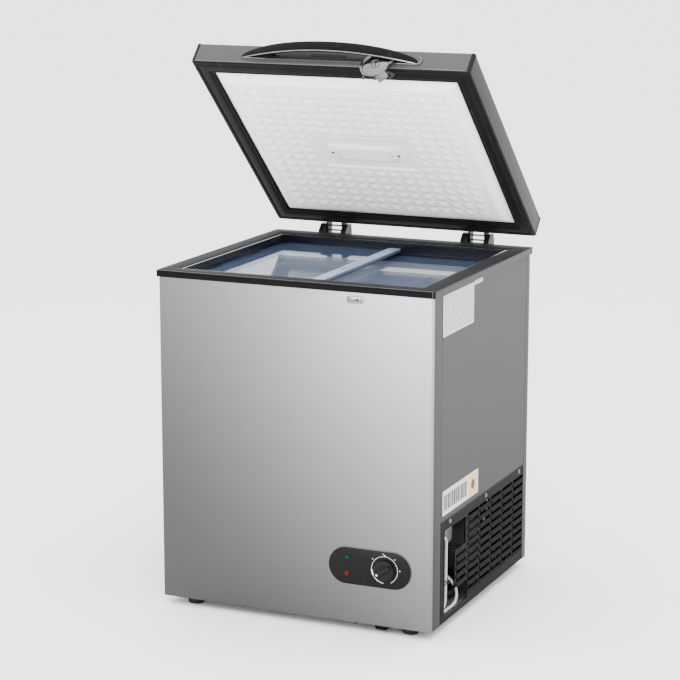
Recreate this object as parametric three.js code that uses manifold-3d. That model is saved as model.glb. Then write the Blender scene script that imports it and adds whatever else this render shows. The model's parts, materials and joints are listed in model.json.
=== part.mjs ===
// Chest freezer with a hinged lid, two sliding glass covers and a side machine bay.
// Units are millimetres. +Z is up, the front faces -Y and the machine bay is on the +X side.
// The model's origin is on the floor, under the middle of its box with the lid open.

import * as THREE from 'three';
import { mergeVertices } from 'three/addons/utils/BufferGeometryUtils.js';
import Module from 'manifold-3d';

const wasm = await Module();
wasm.setup();

// ---- driving dimensions ----

const WIDTH = 640;
const DEPTH = 600;
const BODY_HEIGHT = 720;
const FOOT_HEIGHT = 20;
const SHEET = 1.2;
const GAP = 0.3;

const COLLAR_HEIGHT = 15;
const COLLAR_OVERHANG = 4;
const OPENING_HALF_WIDTH = 284;
const OPENING_FRONT = -268;
const OPENING_REAR = 246;

const FRONT_WRAP = 49;
const REAR_WRAP = 28;

const LINER_THICKNESS = 1.5;
const LINER_HALF_WIDTH = 258;
const LINER_FRONT = -242;
const LINER_REAR = 224;
const LEDGE_WIDTH = 8;
const LEDGE_DROP = 65;
const TUB_FLOOR = 62;
const STEP_EDGE = 96;
const STEP_HEIGHT = 280;
const COIL_ROOM = 9;
const DRAIN = { x: -60, y: -120, radius: 9 };

const BAY_LEFT = 118;
const BAY_HEIGHT = 228;
const BAY_FLOOR = 12.5;

const LID_HALF_WIDTH = 326;
const LID_FRONT = -304;
const LID_REAR = 300;
const LID_SKIN_BOTTOM = 4;
const LID_TOP = 54;
const LID_OPEN_ANGLE = 43;
const PIVOT_Y = 334;
const PIVOT_DROP = 10;

const HINGE_X = 180;
const CORD_RADIUS = 3.25;

// How far a cutting block reaches past the cabinet.
const BEYOND = 400;

const FLOOR_Z = FOOT_HEIGHT;
const COLLAR_Z = FLOOR_Z + BODY_HEIGHT;
const RIM_Z = COLLAR_Z + COLLAR_HEIGHT;
const HALF_W = WIDTH / 2;
const HALF_D = DEPTH / 2;
const FRONT_Y = -HALF_D;
const REAR_Y = HALF_D;
const BAY_TOP_Z = FLOOR_Z + BAY_HEIGHT;
const BAY_FLOOR_Z = FLOOR_Z + BAY_FLOOR;

// ---- materials ----

function finish(color, roughness, metalness) {
  return new THREE.MeshStandardMaterial({ color, roughness, metalness });
}

const STEEL = () => finish(0xa9aaab, 0.35, 0.85);
const SIDE_STEEL = () => finish(0x98999a, 0.45, 0.6);
const GALVANISED = () => finish(0x8e9194, 0.5, 0.8);
const COLLAR_GREY = () => finish(0x77787a, 0.45, 0.1);
const BLACK_PLASTIC = () => finish(0x1b1b1c, 0.5, 0);
const WHITE_PLASTIC = () => finish(0xf2f3f4, 0.4, 0);
const RUBBER = () => finish(0x1d1d1e, 0.85, 0);
const FOAM = () => finish(0xe6dcae, 0.95, 0);
const COPPER = () => finish(0xb06a40, 0.35, 1);
const CHROME = () => finish(0xd5d6d8, 0.15, 1);
const GLASS = () => finish(0xc9dbe6, 0.05, 0);
const CORD_GREY = () => finish(0xbfc0c0, 0.55, 0);
const ENAMEL_BLACK = () => finish(0x141415, 0.3, 0.2);

// ---- solids and booleans ----

function toSolid(geometry) {
  const bare = geometry.clone();
  bare.deleteAttribute('normal');
  bare.deleteAttribute('uv');
  const merged = mergeVertices(bare, 1e-4);
  return new wasm.Manifold(new wasm.Mesh({
    numProp: 3,
    vertProperties: new Float32Array(merged.attributes.position.array),
    triVerts: new Uint32Array(merged.index.array),
  }));
}

function toGeometry(solid) {
  const mesh = solid.getMesh();
  const geometry = new THREE.BufferGeometry();
  geometry.setAttribute('position', new THREE.BufferAttribute(new Float32Array(mesh.vertProperties), 3));
  geometry.setIndex(new THREE.BufferAttribute(new Uint32Array(mesh.triVerts), 1));
  geometry.computeVertexNormals();
  return geometry;
}

function join(...geometries) {
  const solids = geometries.map(toSolid);
  return toGeometry(solids.reduce((whole, solid) => whole.add(solid)));
}

function cut(base, ...tools) {
  const solids = tools.map(toSolid);
  return toGeometry(solids.reduce((whole, solid) => whole.subtract(solid), toSolid(base)));
}

function block(x0, x1, y0, y1, z0, z1) {
  const geometry = new THREE.BoxGeometry(x1 - x0, y1 - y0, z1 - z0);
  return geometry.translate((x0 + x1) / 2, (y0 + y1) / 2, (z0 + z1) / 2);
}

function outline(points) {
  return new THREE.Shape(points.map(([x, y]) => new THREE.Vector2(x, y)));
}

function roundedRectangle(x0, x1, y0, y1, radius) {
  const shape = new THREE.Shape();
  shape.absarc(x1 - radius, y1 - radius, radius, 0, Math.PI / 2, false);
  shape.absarc(x0 + radius, y1 - radius, radius, Math.PI / 2, Math.PI, false);
  shape.absarc(x0 + radius, y0 + radius, radius, Math.PI, 1.5 * Math.PI, false);
  shape.absarc(x1 - radius, y0 + radius, radius, 1.5 * Math.PI, 2 * Math.PI, false);
  return shape;
}

// An outline in the XY plane, raised along Z.
function raise(shape, z0, z1, curveSegments = 6) {
  const geometry = new THREE.ExtrudeGeometry(shape, { depth: z1 - z0, bevelEnabled: false, curveSegments });
  return geometry.translate(0, 0, z0);
}

// An outline whose axes are X and Z, carried from y0 to y1.
function carryAlongY(shape, y0, y1, curveSegments = 6) {
  const geometry = new THREE.ExtrudeGeometry(shape, { depth: y1 - y0, bevelEnabled: false, curveSegments });
  return geometry.rotateX(Math.PI / 2).translate(0, y1, 0);
}

// An outline whose axes are Y and Z, carried from x0 to x1.
function carryAlongX(shape, x0, x1, curveSegments = 6) {
  const geometry = new THREE.ExtrudeGeometry(shape, { depth: x1 - x0, bevelEnabled: false, curveSegments });
  const turn = new THREE.Matrix4().makeBasis(
    new THREE.Vector3(0, 1, 0),
    new THREE.Vector3(0, 0, 1),
    new THREE.Vector3(1, 0, 0),
  );
  return geometry.applyMatrix4(turn).translate(x0, 0, 0);
}

function rodAlongX(radius, x0, x1, y, z, sides = 20) {
  const geometry = new THREE.CylinderGeometry(radius, radius, x1 - x0, sides);
  return geometry.rotateZ(Math.PI / 2).translate((x0 + x1) / 2, y, z);
}

function rodAlongY(radius, y0, y1, x, z, sides = 20) {
  const geometry = new THREE.CylinderGeometry(radius, radius, y1 - y0, sides);
  return geometry.translate(x, (y0 + y1) / 2, z);
}

function rodAlongZ(radiusBottom, radiusTop, z0, z1, x, y, sides = 20) {
  const geometry = new THREE.CylinderGeometry(radiusTop, radiusBottom, z1 - z0, sides);
  return geometry.rotateX(Math.PI / 2).translate(x, y, (z0 + z1) / 2);
}

function turned(profile, segments = 24) {
  const points = profile.map(([radius, height]) => new THREE.Vector2(radius, height));
  return new THREE.LatheGeometry(points, segments).rotateX(Math.PI / 2);
}

function tubeAlong(curve, radius, sides, steps) {
  const section = outline(Array.from({ length: sides }, (_, i) => {
    const angle = (2 * Math.PI * i) / sides;
    return [radius * Math.cos(angle), radius * Math.sin(angle)];
  }));
  return new THREE.ExtrudeGeometry(section, { steps, bevelEnabled: false, extrudePath: curve });
}

// A closed solid through rectangles [x0, x1, y0, y1, z], listed from the bottom up.
function loft(levels) {
  const positions = [];
  const index = [];
  for (const [x0, x1, y0, y1, z] of levels) {
    positions.push(x0, y0, z, x1, y0, z, x1, y1, z, x0, y1, z);
  }
  index.push(0, 2, 1, 0, 3, 2);
  for (let level = 0; level < levels.length - 1; level += 1) {
    for (let side = 0; side < 4; side += 1) {
      const a = level * 4 + side;
      const b = level * 4 + ((side + 1) % 4);
      index.push(a, b, b + 4, a, b + 4, a + 4);
    }
  }
  const top = (levels.length - 1) * 4;
  index.push(top, top + 1, top + 2, top, top + 2, top + 3);
  const geometry = new THREE.BufferGeometry();
  geometry.setAttribute('position', new THREE.Float32BufferAttribute(positions, 3));
  geometry.setIndex(index);
  geometry.computeVertexNormals();
  return geometry;
}

function addPart(parent, name, geometry, material) {
  const mesh = new THREE.Mesh(geometry, material);
  mesh.name = name;
  parent.add(mesh);
  return mesh;
}

// ---- outer casing ----

const CONTROL_X = 179;
const CONTROL_Z = 146;
const CONTROL_LENGTH = 190;
const CONTROL_HEIGHT = 81;
const CONTROL_THICKNESS = 3.7;
const KNOB_X = 214;
const KNOB_Z = 146.5;
const GRIP_TILT = 34;
const LAMP_X = 128;
const STRIKE = { x: 144, z: 724, halfWidth: 19, halfHeight: 7.5, tongue: 1.5 };

function stadium(x, z, length, height) {
  const [halfLength, halfHeight] = [length / 2, height / 2];
  const radius = halfHeight - 0.01;
  return roundedRectangle(x - halfLength, x + halfLength, z - halfHeight, z + halfHeight, radius);
}

// A sheet bent round the two corners of one end of the cabinet, as seen from above.
function wrappedSheet(faceY, wrap) {
  const inward = faceY < 0 ? 1 : -1;
  const edgeY = faceY + inward * wrap;
  const innerY = faceY + inward * SHEET;
  return outline([
    [-HALF_W, edgeY],
    [-HALF_W, faceY],
    [HALF_W, faceY],
    [HALF_W, edgeY],
    [HALF_W - SHEET, edgeY],
    [HALF_W - SHEET, innerY],
    [-HALF_W + SHEET, innerY],
    [-HALF_W + SHEET, edgeY],
  ]);
}

function addCasing(cabinet) {
  const top = COLLAR_Z - GAP;
  const sideFront = FRONT_Y + FRONT_WRAP + GAP;
  const sideRear = REAR_Y - REAR_WRAP - GAP;

  const front = raise(wrappedSheet(FRONT_Y, FRONT_WRAP), FLOOR_Z, top);
  const controlHole = stadium(CONTROL_X, CONTROL_Z, CONTROL_LENGTH - 24, CONTROL_HEIGHT - 24);
  const controlCut = carryAlongY(controlHole, FRONT_Y - 5, FRONT_Y + 5, 8);
  addPart(cabinet, 'front_panel', cut(front, controlCut), STEEL());
  addPart(cabinet, 'rear_panel', raise(wrappedSheet(REAR_Y, REAR_WRAP), FLOOR_Z, top), SIDE_STEEL());

  const left = block(-HALF_W, -HALF_W + SHEET, sideFront, sideRear, FLOOR_Z, top);
  addPart(cabinet, 'left_side_panel', left, SIDE_STEEL());
  const right = block(HALF_W - SHEET, HALF_W, sideFront, sideRear, BAY_TOP_Z + GAP, top);
  addPart(cabinet, 'right_side_panel', right, SIDE_STEEL());

  const inset = SHEET + GAP;
  const panRight = HALF_W - GRILLE_THICKNESS - GAP;
  const pan = block(-HALF_W + inset, panRight, FRONT_Y + inset, REAR_Y - inset, FLOOR_Z, FLOOR_Z + 2);
  const stiffener = carryAlongY(outline([
    [183, FLOOR_Z + 1],
    [187, FLOOR_Z - 13],
    [211, FLOOR_Z - 13],
    [221, FLOOR_Z + 1],
  ]), FRONT_Y + 12, FRONT_Y + 34);
  const drainTab = block(140, 148, FRONT_Y + 4, FRONT_Y + 8, FLOOR_Z - 4, FLOOR_Z + 1);
  addPart(cabinet, 'bottom_pan', join(pan, stiffener, drainTab), GALVANISED());
}

function addFeet(cabinet) {
  const reach = { x: 258, y: 262 };
  const top = FOOT_HEIGHT - GAP;
  const profile = [[0, 0], [15, 0], [18, 3], [18, 12], [14, 15], [14, top], [0, top]];
  for (const [end, y] of [['front', -reach.y], ['rear', reach.y]]) {
    for (const [side, x] of [['left', -reach.x], ['right', reach.x]]) {
      addPart(cabinet, `${end}_${side}_foot`, turned(profile, 20).translate(x, y, 0), RUBBER());
    }
  }
}

// ---- tub, insulation and collar ----

const LEDGE_Z = RIM_Z - LEDGE_DROP;
const LINER_TOP_Z = RIM_Z - 45;

function tubSpace(margin) {
  const lower = LINER_HALF_WIDTH + margin;
  const upper = lower + LEDGE_WIDTH;
  const front = LINER_FRONT - margin;
  const rear = LINER_REAR + margin;
  const deep = carryAlongY(outline([
    [-lower, LEDGE_Z + margin],
    [-lower, TUB_FLOOR + FLOOR_Z - margin],
    [STEP_EDGE + margin, TUB_FLOOR + FLOOR_Z - margin],
    [STEP_EDGE + margin, STEP_HEIGHT + FLOOR_Z - margin],
    [lower, STEP_HEIGHT + FLOOR_Z - margin],
    [lower, LEDGE_Z + margin],
  ]), front, rear);
  const mouth = block(
    -upper, upper, front - LEDGE_WIDTH, rear + LEDGE_WIDTH, LEDGE_Z - margin, LINER_TOP_Z + 10);
  return [deep, mouth];
}

function addTub(cabinet) {
  const cap = block(-BEYOND, BEYOND, -BEYOND, BEYOND, LINER_TOP_Z - GAP, LINER_TOP_Z + 40);
  const outer = cut(join(...tubSpace(LINER_THICKNESS)), cap);
  const drainHole = rodAlongZ(DRAIN.radius, DRAIN.radius, FLOOR_Z + 40, FLOOR_Z + 90, DRAIN.x, DRAIN.y);
  addPart(cabinet, 'inner_liner', cut(outer, ...tubSpace(0), drainHole), WHITE_PLASTIC());

  const skin = SHEET + COIL_ROOM;
  const x = HALF_W - skin;
  const slab = block(-x, x, FRONT_Y + skin, REAR_Y - skin, FLOOR_Z + 2.5, COLLAR_Z - 0.5);
  const bay = block(BAY_LEFT - 2, HALF_W, -BEYOND, BEYOND, FLOOR_Z - 5, BAY_TOP_Z + 2);
  const trackRoom = block(
    -OPENING_HALF_WIDTH, OPENING_HALF_WIDTH, OPENING_FRONT, OPENING_REAR, LINER_TOP_Z - 2, COLLAR_Z + 5);
  const pocketBottom = CONTROL_Z - CONTROL_HEIGHT / 2;
  const controlPocket = block(
    CONTROL_X - 75, CONTROL_X + 75, FRONT_Y - 5, FRONT_Y + 36, pocketBottom, BAY_TOP_Z + 3);
  addPart(cabinet, 'cabinet_foam', cut(
    slab, ...tubSpace(LINER_THICKNESS + COIL_ROOM), bay, trackRoom, controlPocket), FOAM());

  const plugProfile = [[0, 0], [7.5, 0], [8.4, 6], [14, 6.4], [14, 10], [5, 11], [5, 16], [0, 16]];
  const plug = turned(plugProfile, 16).translate(DRAIN.x, DRAIN.y, FLOOR_Z + TUB_FLOOR - 6);
  addPart(cabinet, 'drain_plug', plug, RUBBER());
}

function ring(x, y0, y1, holeX, holeY0, holeY1, z0, z1) {
  const shape = outline([[-x, y0], [x, y0], [x, y1], [-x, y1]]);
  shape.holes.push(outline([[-holeX, holeY0], [-holeX, holeY1], [holeX, holeY1], [holeX, holeY0]]));
  return raise(shape, z0, z1);
}

function addCollar(cabinet) {
  const reachX = HALF_W + COLLAR_OVERHANG;
  const reachY = HALF_D + COLLAR_OVERHANG;
  const collar = ring(
    reachX, -reachY, reachY, OPENING_HALF_WIDTH, OPENING_FRONT, OPENING_REAR, COLLAR_Z, RIM_Z);
  addPart(cabinet, 'rim_collar', collar, COLLAR_GREY());

  const x = OPENING_HALF_WIDTH - GAP;
  const front = OPENING_FRONT + GAP;
  const rear = OPENING_REAR - GAP;
  const wall = ring(x, front, rear, x - 5.5, front + 5.5, rear - 4.5, LINER_TOP_Z + 20, RIM_Z - 1);
  const bottom = LINER_TOP_Z;
  const upper = ring(x, front, rear, x - 9.5, front + 11.5, rear - 9.5, bottom + 9.5, bottom + 20.1);
  const lower = ring(x, front, rear, x - 17.5, front + 17.5, rear - 13.5, bottom, bottom + 10);
  addPart(cabinet, 'glass_track_frame', join(wall, upper, lower), BLACK_PLASTIC());
}

// ---- sliding glass covers and basket ----

const GLASS_THICKNESS = 4;
const LEFT_PANE_Z = LINER_TOP_Z + 20.5;
const RIGHT_PANE_Z = LINER_TOP_Z + 10.4;

function addGlassCovers(cabinet) {
  const leftRear = OPENING_REAR - 6;
  const leftFront = OPENING_FRONT + 7;
  const leftTop = LEFT_PANE_Z + GLASS_THICKNESS;
  const leftPane = block(-277, 18, leftFront, leftRear, LEFT_PANE_Z, leftTop);
  addPart(cabinet, 'left_glass_pane', leftPane, GLASS());
  const leftRail = join(
    block(-4, 23, leftFront, leftRear, leftTop + GAP, leftTop + 5),
    block(18 + GAP, 23, leftFront, leftRear, LEFT_PANE_Z, leftTop + 2),
    block(8, 14, -60, 40, leftTop + 4, leftTop + 6),
  );
  addPart(cabinet, 'left_pane_rail', leftRail, WHITE_PLASTIC());

  const rightRear = OPENING_REAR - 11;
  const rightFront = OPENING_FRONT + 13;
  const rightTop = RIGHT_PANE_Z + GLASS_THICKNESS;
  const rightPane = block(-18, 272, rightFront, rightRear, RIGHT_PANE_Z, rightTop);
  addPart(cabinet, 'right_glass_pane', rightPane, GLASS());
  const rightRail = join(
    block(-23, 4, rightFront, rightRear, rightTop + GAP, rightTop + 3),
    block(-23, -18 - GAP, rightFront, rightRear, RIGHT_PANE_Z, rightTop + 1.5),
  );
  addPart(cabinet, 'right_pane_rail', rightRail, WHITE_PLASTIC());
}

const BASKET_LEFT = -95;
const BASKET_RIGHT = 120;

function addBasket(cabinet) {
  const wall = 4;
  const top = LEDGE_Z + 5.5;
  const bottom = LEDGE_Z - 190;
  const front = LINER_FRONT + 6;
  const rear = LINER_REAR - 6;
  const shell = (inset, z0, z1) => loft([
    [BASKET_LEFT + 12 + inset, BASKET_RIGHT - 12 - inset, front + 10 + inset, rear - 10 - inset, z0],
    [BASKET_LEFT + inset, BASKET_RIGHT - inset, front + inset, rear - inset, z1],
  ]);
  const hangers = [
    block(BASKET_LEFT, BASKET_RIGHT, front - 12, front + 1, LEDGE_Z + GAP, top),
    block(BASKET_LEFT, BASKET_RIGHT, rear - 1, rear + 12, LEDGE_Z + GAP, top),
  ];
  addPart(cabinet, 'wire_basket', cut(
    join(shell(0, bottom, top), ...hangers), shell(wall, bottom + wall, top + 1)), WHITE_PLASTIC());
}

// ---- controls on the front ----

function addControls(cabinet) {
  const faceY = FRONT_Y - GAP;
  const plateOutline = stadium(CONTROL_X, CONTROL_Z, CONTROL_LENGTH, CONTROL_HEIGHT);
  const plate = carryAlongY(plateOutline, faceY - CONTROL_THICKNESS, faceY, 12);
  const shaftHole = rodAlongY(5, faceY - 10, faceY + 5, KNOB_X, KNOB_Z, 16);
  addPart(cabinet, 'control_panel', cut(plate, shaftHole), BLACK_PLASTIC());

  const plateY = faceY - CONTROL_THICKNESS - GAP;
  const lens = (z) => turned([[0, 0], [5.5, 0], [5.5, 1.2], [4.2, 2.6], [2, 3.3], [0, 3.5]], 16)
    .rotateX(Math.PI / 2).translate(LAMP_X, plateY, z);
  addPart(cabinet, 'run_light_lens', lens(165), finish(0x0d6a4a, 0.25, 0));
  addPart(cabinet, 'power_light_lens', lens(130), finish(0x8f1418, 0.25, 0));

  const body = block(KNOB_X - 19, KNOB_X + 19, FRONT_Y + 4, FRONT_Y + 32, KNOB_Z - 16, KNOB_Z + 16);
  const shaft = rodAlongY(3, FRONT_Y - 16, FRONT_Y + 6, KNOB_X, KNOB_Z, 16);
  addPart(cabinet, 'thermostat_body', join(body, shaft), GALVANISED());

  const dial = rodAlongY(23.5, plateY - 9, plateY, KNOB_X, KNOB_Z, 32);
  const grip = block(-21, 21, plateY - 18, plateY - 8, -4.5, 4.5)
    .rotateY(THREE.MathUtils.degToRad(-GRIP_TILT)).translate(KNOB_X, 0, KNOB_Z);
  const bore = rodAlongY(3 + GAP, FRONT_Y - 16 - GAP, FRONT_Y, KNOB_X, KNOB_Z, 16);
  addPart(cabinet, 'thermostat_knob', cut(join(dial, grip), bore), BLACK_PLASTIC());
}

function addStrike(cabinet) {
  const { x, z, halfWidth, halfHeight, tongue } = STRIKE;
  const faceY = FRONT_Y - GAP;
  const plateShape = roundedRectangle(x - halfWidth, x + halfWidth, z - halfHeight, z + halfHeight, 4);
  const plate = carryAlongY(plateShape, faceY - 1.2, faceY, 3);
  const bar = block(x - tongue, x + tongue, FRONT_Y - 12, faceY - 1, z - tongue, z + tongue);
  addPart(cabinet, 'strike_plate', join(plate, bar), CHROME());
}

// ---- machine bay ----

const GRILLE_THICKNESS = 3.5;
const LOUVRE_WIDTH = 66;
const LOUVRE_PITCH_Y = 72.5;
const LOUVRE_PITCH_Z = 18.6;
const LOUVRE_SLOT = 7;
const LOUVRE_ROWS = 10;
const LOUVRE_TOP = 226;
const LOUVRE_FIRST_Y = -86;

function louvreSlots() {
  const slots = [];
  for (let row = 0; row < LOUVRE_ROWS; row += 1) {
    const z1 = LOUVRE_TOP - row * LOUVRE_PITCH_Z;
    for (let column = 0; column < 5; column += 1) {
      const y0 = LOUVRE_FIRST_Y + column * LOUVRE_PITCH_Y;
      slots.push([y0, y0 + LOUVRE_WIDTH, z1 - LOUVRE_SLOT, z1]);
    }
    if (z1 < 160 && z1 > 90) {
      slots.push([-157, -97, z1 - LOUVRE_SLOT, z1]);
    }
  }
  return slots;
}

function addGrille(cabinet) {
  const front = FRONT_Y + FRONT_WRAP + GAP;
  const rear = REAR_Y - REAR_WRAP - GAP;
  const back = HALF_W - GRILLE_THICKNESS;
  const panel = block(back, HALF_W, front, rear, FLOOR_Z + GAP, BAY_TOP_Z);
  const cordDoor = carryAlongX(outline([
    [-229, 226],
    [-229, 34],
    [-91, 34],
    [-91, 80],
    [-165, 80],
    [-165, 163],
    [-102, 163],
    [-102, 226],
  ]), back - 1, HALF_W + 1);
  const slots = louvreSlots().map(([y0, y1, z0, z1]) => block(back - 1, HALF_W + 1, y0, y1, z0, z1));
  addPart(cabinet, 'compressor_grille', cut(panel, cordDoor, ...slots), BLACK_PLASTIC());
}

const COMPRESSOR = { x: 214, y: 88, radius: 68 };

function addMachineBay(cabinet) {
  const front = FRONT_Y + SHEET + 1;
  const rear = REAR_Y - SHEET - 1;
  const right = HALF_W - GRILLE_THICKNESS - 1;
  const shroud = join(
    block(BAY_LEFT - 1.2, BAY_LEFT, front, rear, FLOOR_Z + 2.5, BAY_TOP_Z),
    block(BAY_LEFT - 1.2, right, front + 38, rear, BAY_TOP_Z - 0.5, BAY_TOP_Z + 1),
    block(BAY_LEFT - 1.2, right, front + 46, front + 47.2, FLOOR_Z + 2.5, BAY_TOP_Z),
  );
  addPart(cabinet, 'machine_bay_shroud', shroud, GALVANISED());

  const plate = block(BAY_LEFT + 2, right - 1, -246, 290, BAY_FLOOR_Z - 2.5, BAY_FLOOR_Z);
  const runners = [-200, 40, 250].map((y) => block(
    BAY_LEFT + 8, right - 8, y - 12, y + 12, FLOOR_Z + 2 + GAP, BAY_FLOOR_Z - 2));
  addPart(cabinet, 'compressor_base_plate', join(plate, ...runners), GALVANISED());

  const { x, y, radius } = COMPRESSOR;
  const footZ = BAY_FLOOR_Z + 13;
  const shell = turned([
    [0, 0], [50, 0], [radius - 6, 8], [radius, 26], [radius, 84], [radius - 5, 106], [radius - 22, 124],
    [24, 132], [0, 134],
  ], 28).translate(x, y, footZ + 2);
  const feet = block(x - 82, x + 82, y - 56, y + 56, footZ, footZ + 3);
  addPart(cabinet, 'compressor', join(shell, feet), ENAMEL_BLACK());
  let number = 1;
  for (const dy of [-44, 44]) {
    for (const dx of [-70, 70]) {
      const grommet = rodAlongZ(9, 8, BAY_FLOOR_Z + GAP, footZ - GAP, x + dx, y + dy, 14);
      addPart(cabinet, `compressor_grommet_${number}`, grommet, RUBBER());
      number += 1;
    }
  }

  const box = carryAlongX(roundedRectangle(-176, -126, 172, BAY_TOP_Z - 1, 12), 262, 300, 4);
  addPart(cabinet, 'terminal_box', box, finish(0x6f7173, 0.55, 0));
}

function smoothPath(points) {
  const route = points.map(([x, y, z]) => new THREE.Vector3(x, y, z));
  return new THREE.CatmullRomCurve3(route, false, 'centripetal');
}

function addRefrigerantCircuit(cabinet) {
  const { x, y, radius } = COMPRESSOR;
  const suction = smoothPath([
    [x - radius - 1, y - 10, 128],
    [x - radius - 10, y - 14, 130],
    [x - radius - 14, y - 40, 150],
    [x - radius - 10, y - 80, 190],
    [x - radius - 10, y - 110, 222],
    [x - radius - 10, y - 112, BAY_TOP_Z - 2],
  ]);
  addPart(cabinet, 'suction_line', tubeAlong(suction, 4, 8, 20), COPPER());
  const discharge = smoothPath([
    [x + 20, y + radius + 1, 96],
    [x + 22, y + radius + 14, 98],
    [x + 30, y + radius + 40, 110],
    [x + 34, y + radius + 70, 150],
    [x + 30, y + radius + 78, 200],
    [x + 28, y + radius + 80, BAY_TOP_Z - 2],
  ]);
  addPart(cabinet, 'discharge_line', tubeAlong(discharge, 3, 8, 20), COPPER());
  const drier = turned([
    [0, 0], [1.4, 0], [1.4, 18], [9, 28], [9, 88], [3, 98], [3, 112], [0, 112],
  ], 14).translate(165, -130, BAY_FLOOR_Z + 60);
  const clip = block(151, 179, -131.5, -128.5, BAY_FLOOR_Z + GAP, BAY_FLOOR_Z + 100);
  addPart(cabinet, 'filter_drier', join(drier, clip), COPPER());
}

// A bar of square section between two points, leaning up as it runs along X or along Y.
function leaningBar(a, b, half) {
  const middle = a.clone().add(b).multiplyScalar(0.5);
  const run = b.clone().sub(a);
  const level = Math.hypot(run.x, run.y);
  const bar = new THREE.BoxGeometry(level + 2 * half, 2 * half, 2 * half);
  bar.applyMatrix4(new THREE.Matrix4().makeShear(0, run.z / level, 0, 0, 0, 0));
  return bar.rotateZ(Math.atan2(run.y, run.x)).translate(middle.x, middle.y, middle.z);
}

// A coil wound round the cabinet walls, rising by one pitch each turn.
function winding(reachX, y0, y1, z0, pitch, turns, half) {
  const corners = [[-reachX, y0], [reachX, y0], [reachX, y1], [-reachX, y1]];
  const bars = [];
  for (let leg = 0; leg < turns * 4; leg += 1) {
    const [start, end] = [leg, leg + 1].map((count) => {
      const [x, y] = corners[count % 4];
      return new THREE.Vector3(x, y, z0 + (count * pitch) / 4);
    });
    bars.push(leaningBar(start, end, half));
  }
  return join(...bars);
}

function addCoils(cabinet) {
  const linerX = LINER_HALF_WIDTH + LINER_THICKNESS + COIL_ROOM / 2;
  const coilZ = FLOOR_Z + STEP_HEIGHT + 30;
  const evaporator = winding(linerX, LINER_FRONT - 6, LINER_REAR + 6, coilZ, 60, 5, 3);
  addPart(cabinet, 'evaporator_coil', evaporator, COPPER());
  const skinX = HALF_W - SHEET - COIL_ROOM / 2;
  const skinY = HALF_D - SHEET - COIL_ROOM / 2;
  const condenser = winding(skinX, -skinY, skinY, FLOOR_Z + BAY_HEIGHT + 30, 72, 5, 2.5);
  addPart(cabinet, 'condenser_coil', condenser, COPPER());
}

// ---- mains lead ----

const HANK = { y: -202, bottom: BAY_FLOOR_Z + 0.5, run: 122, bend: 19.5, x0: 279.5, x1: 314.5 };
const RELIEF = { x: 281, y: -150, top: 171.5, bottom: 143.5 };
const LEAD_Z = HANK.bottom + CORD_RADIUS + 0.2;
const PLUG = { x: 277, y: -133, z: BAY_FLOOR_Z + 12.3 };

function addMainsLead(cabinet) {
  const relief = rodAlongZ(CORD_RADIUS + 1, 8, RELIEF.bottom, RELIEF.top, RELIEF.x, RELIEF.y, 14);
  addPart(cabinet, 'cord_strain_relief', relief, CORD_GREY());

  const lead = smoothPath([
    [RELIEF.x, RELIEF.y, RELIEF.bottom - GAP],
    [RELIEF.x, RELIEF.y, 128],
    [283, -147.5, 114],
    [290, -139, 97],
    [299, -128, 81],
    [306, -123, 66],
    [310, -126.5, 52],
    [311, -137, 41],
    [311, -152, LEAD_Z],
    [311, -168, LEAD_Z],
    [311, -184, LEAD_Z],
  ]);
  addPart(cabinet, 'mains_cord', tubeAlong(lead, CORD_RADIUS, 8, 24), CORD_GREY());

  const half = HANK.bend + CORD_RADIUS;
  const hank = carryAlongX(roundedRectangle(
    HANK.y - half, HANK.y + half, HANK.bottom, HANK.bottom + HANK.run + 2 * half, half - 0.01,
  ), HANK.x0, HANK.x1, 8);
  addPart(cabinet, 'cord_hank', hank, CORD_GREY());

  const tail = smoothPath([
    [281, -174.6, 66],
    [281, -172.5, 56],
    [280.5, -166.5, 47],
    [279, -157, 42.5],
    [277.5, -146, 43],
    [PLUG.x, -138, PLUG.z],
    [PLUG.x, PLUG.y, PLUG.z],
  ]);
  addPart(cabinet, 'mains_cord_tail', tubeAlong(tail, CORD_RADIUS, 8, 14), CORD_GREY());
  addPart(cabinet, 'mains_plug', plugBody(), BLACK_PLASTIC());
}

// The plug lies on the bay floor with its pins towards the rear.
function plugBody() {
  const { x, y, z } = PLUG;
  const reliefEnd = y + 28;
  const faceY = reliefEnd + 34;
  const relief = new THREE.CylinderGeometry(11, CORD_RADIUS + 1.2, 28, 14).translate(x, y + 14 + GAP, z);
  const bodyShape = roundedRectangle(x - 17, x + 17, z - 12, z + 12, 8);
  const body = carryAlongY(bodyShape, reliefEnd - 1, faceY, 4);
  const blades = [x - 6.35, x + 6.35].map((middle) => block(
    middle - 0.75, middle + 0.75, faceY - 1, faceY + 17, z - 6, z + 0.4));
  const earth = rodAlongY(2.4, faceY - 1, faceY + 19, x, z + 6.5, 12);
  return join(relief, body, ...blades, earth);
}

// ---- hinges ----

const PIVOT_Z = RIM_Z - PIVOT_DROP;
const PIN_RADIUS = 3.5;
const CHEEK_OUTER = 35;
const CHEEK_INNER = 22;

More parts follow.
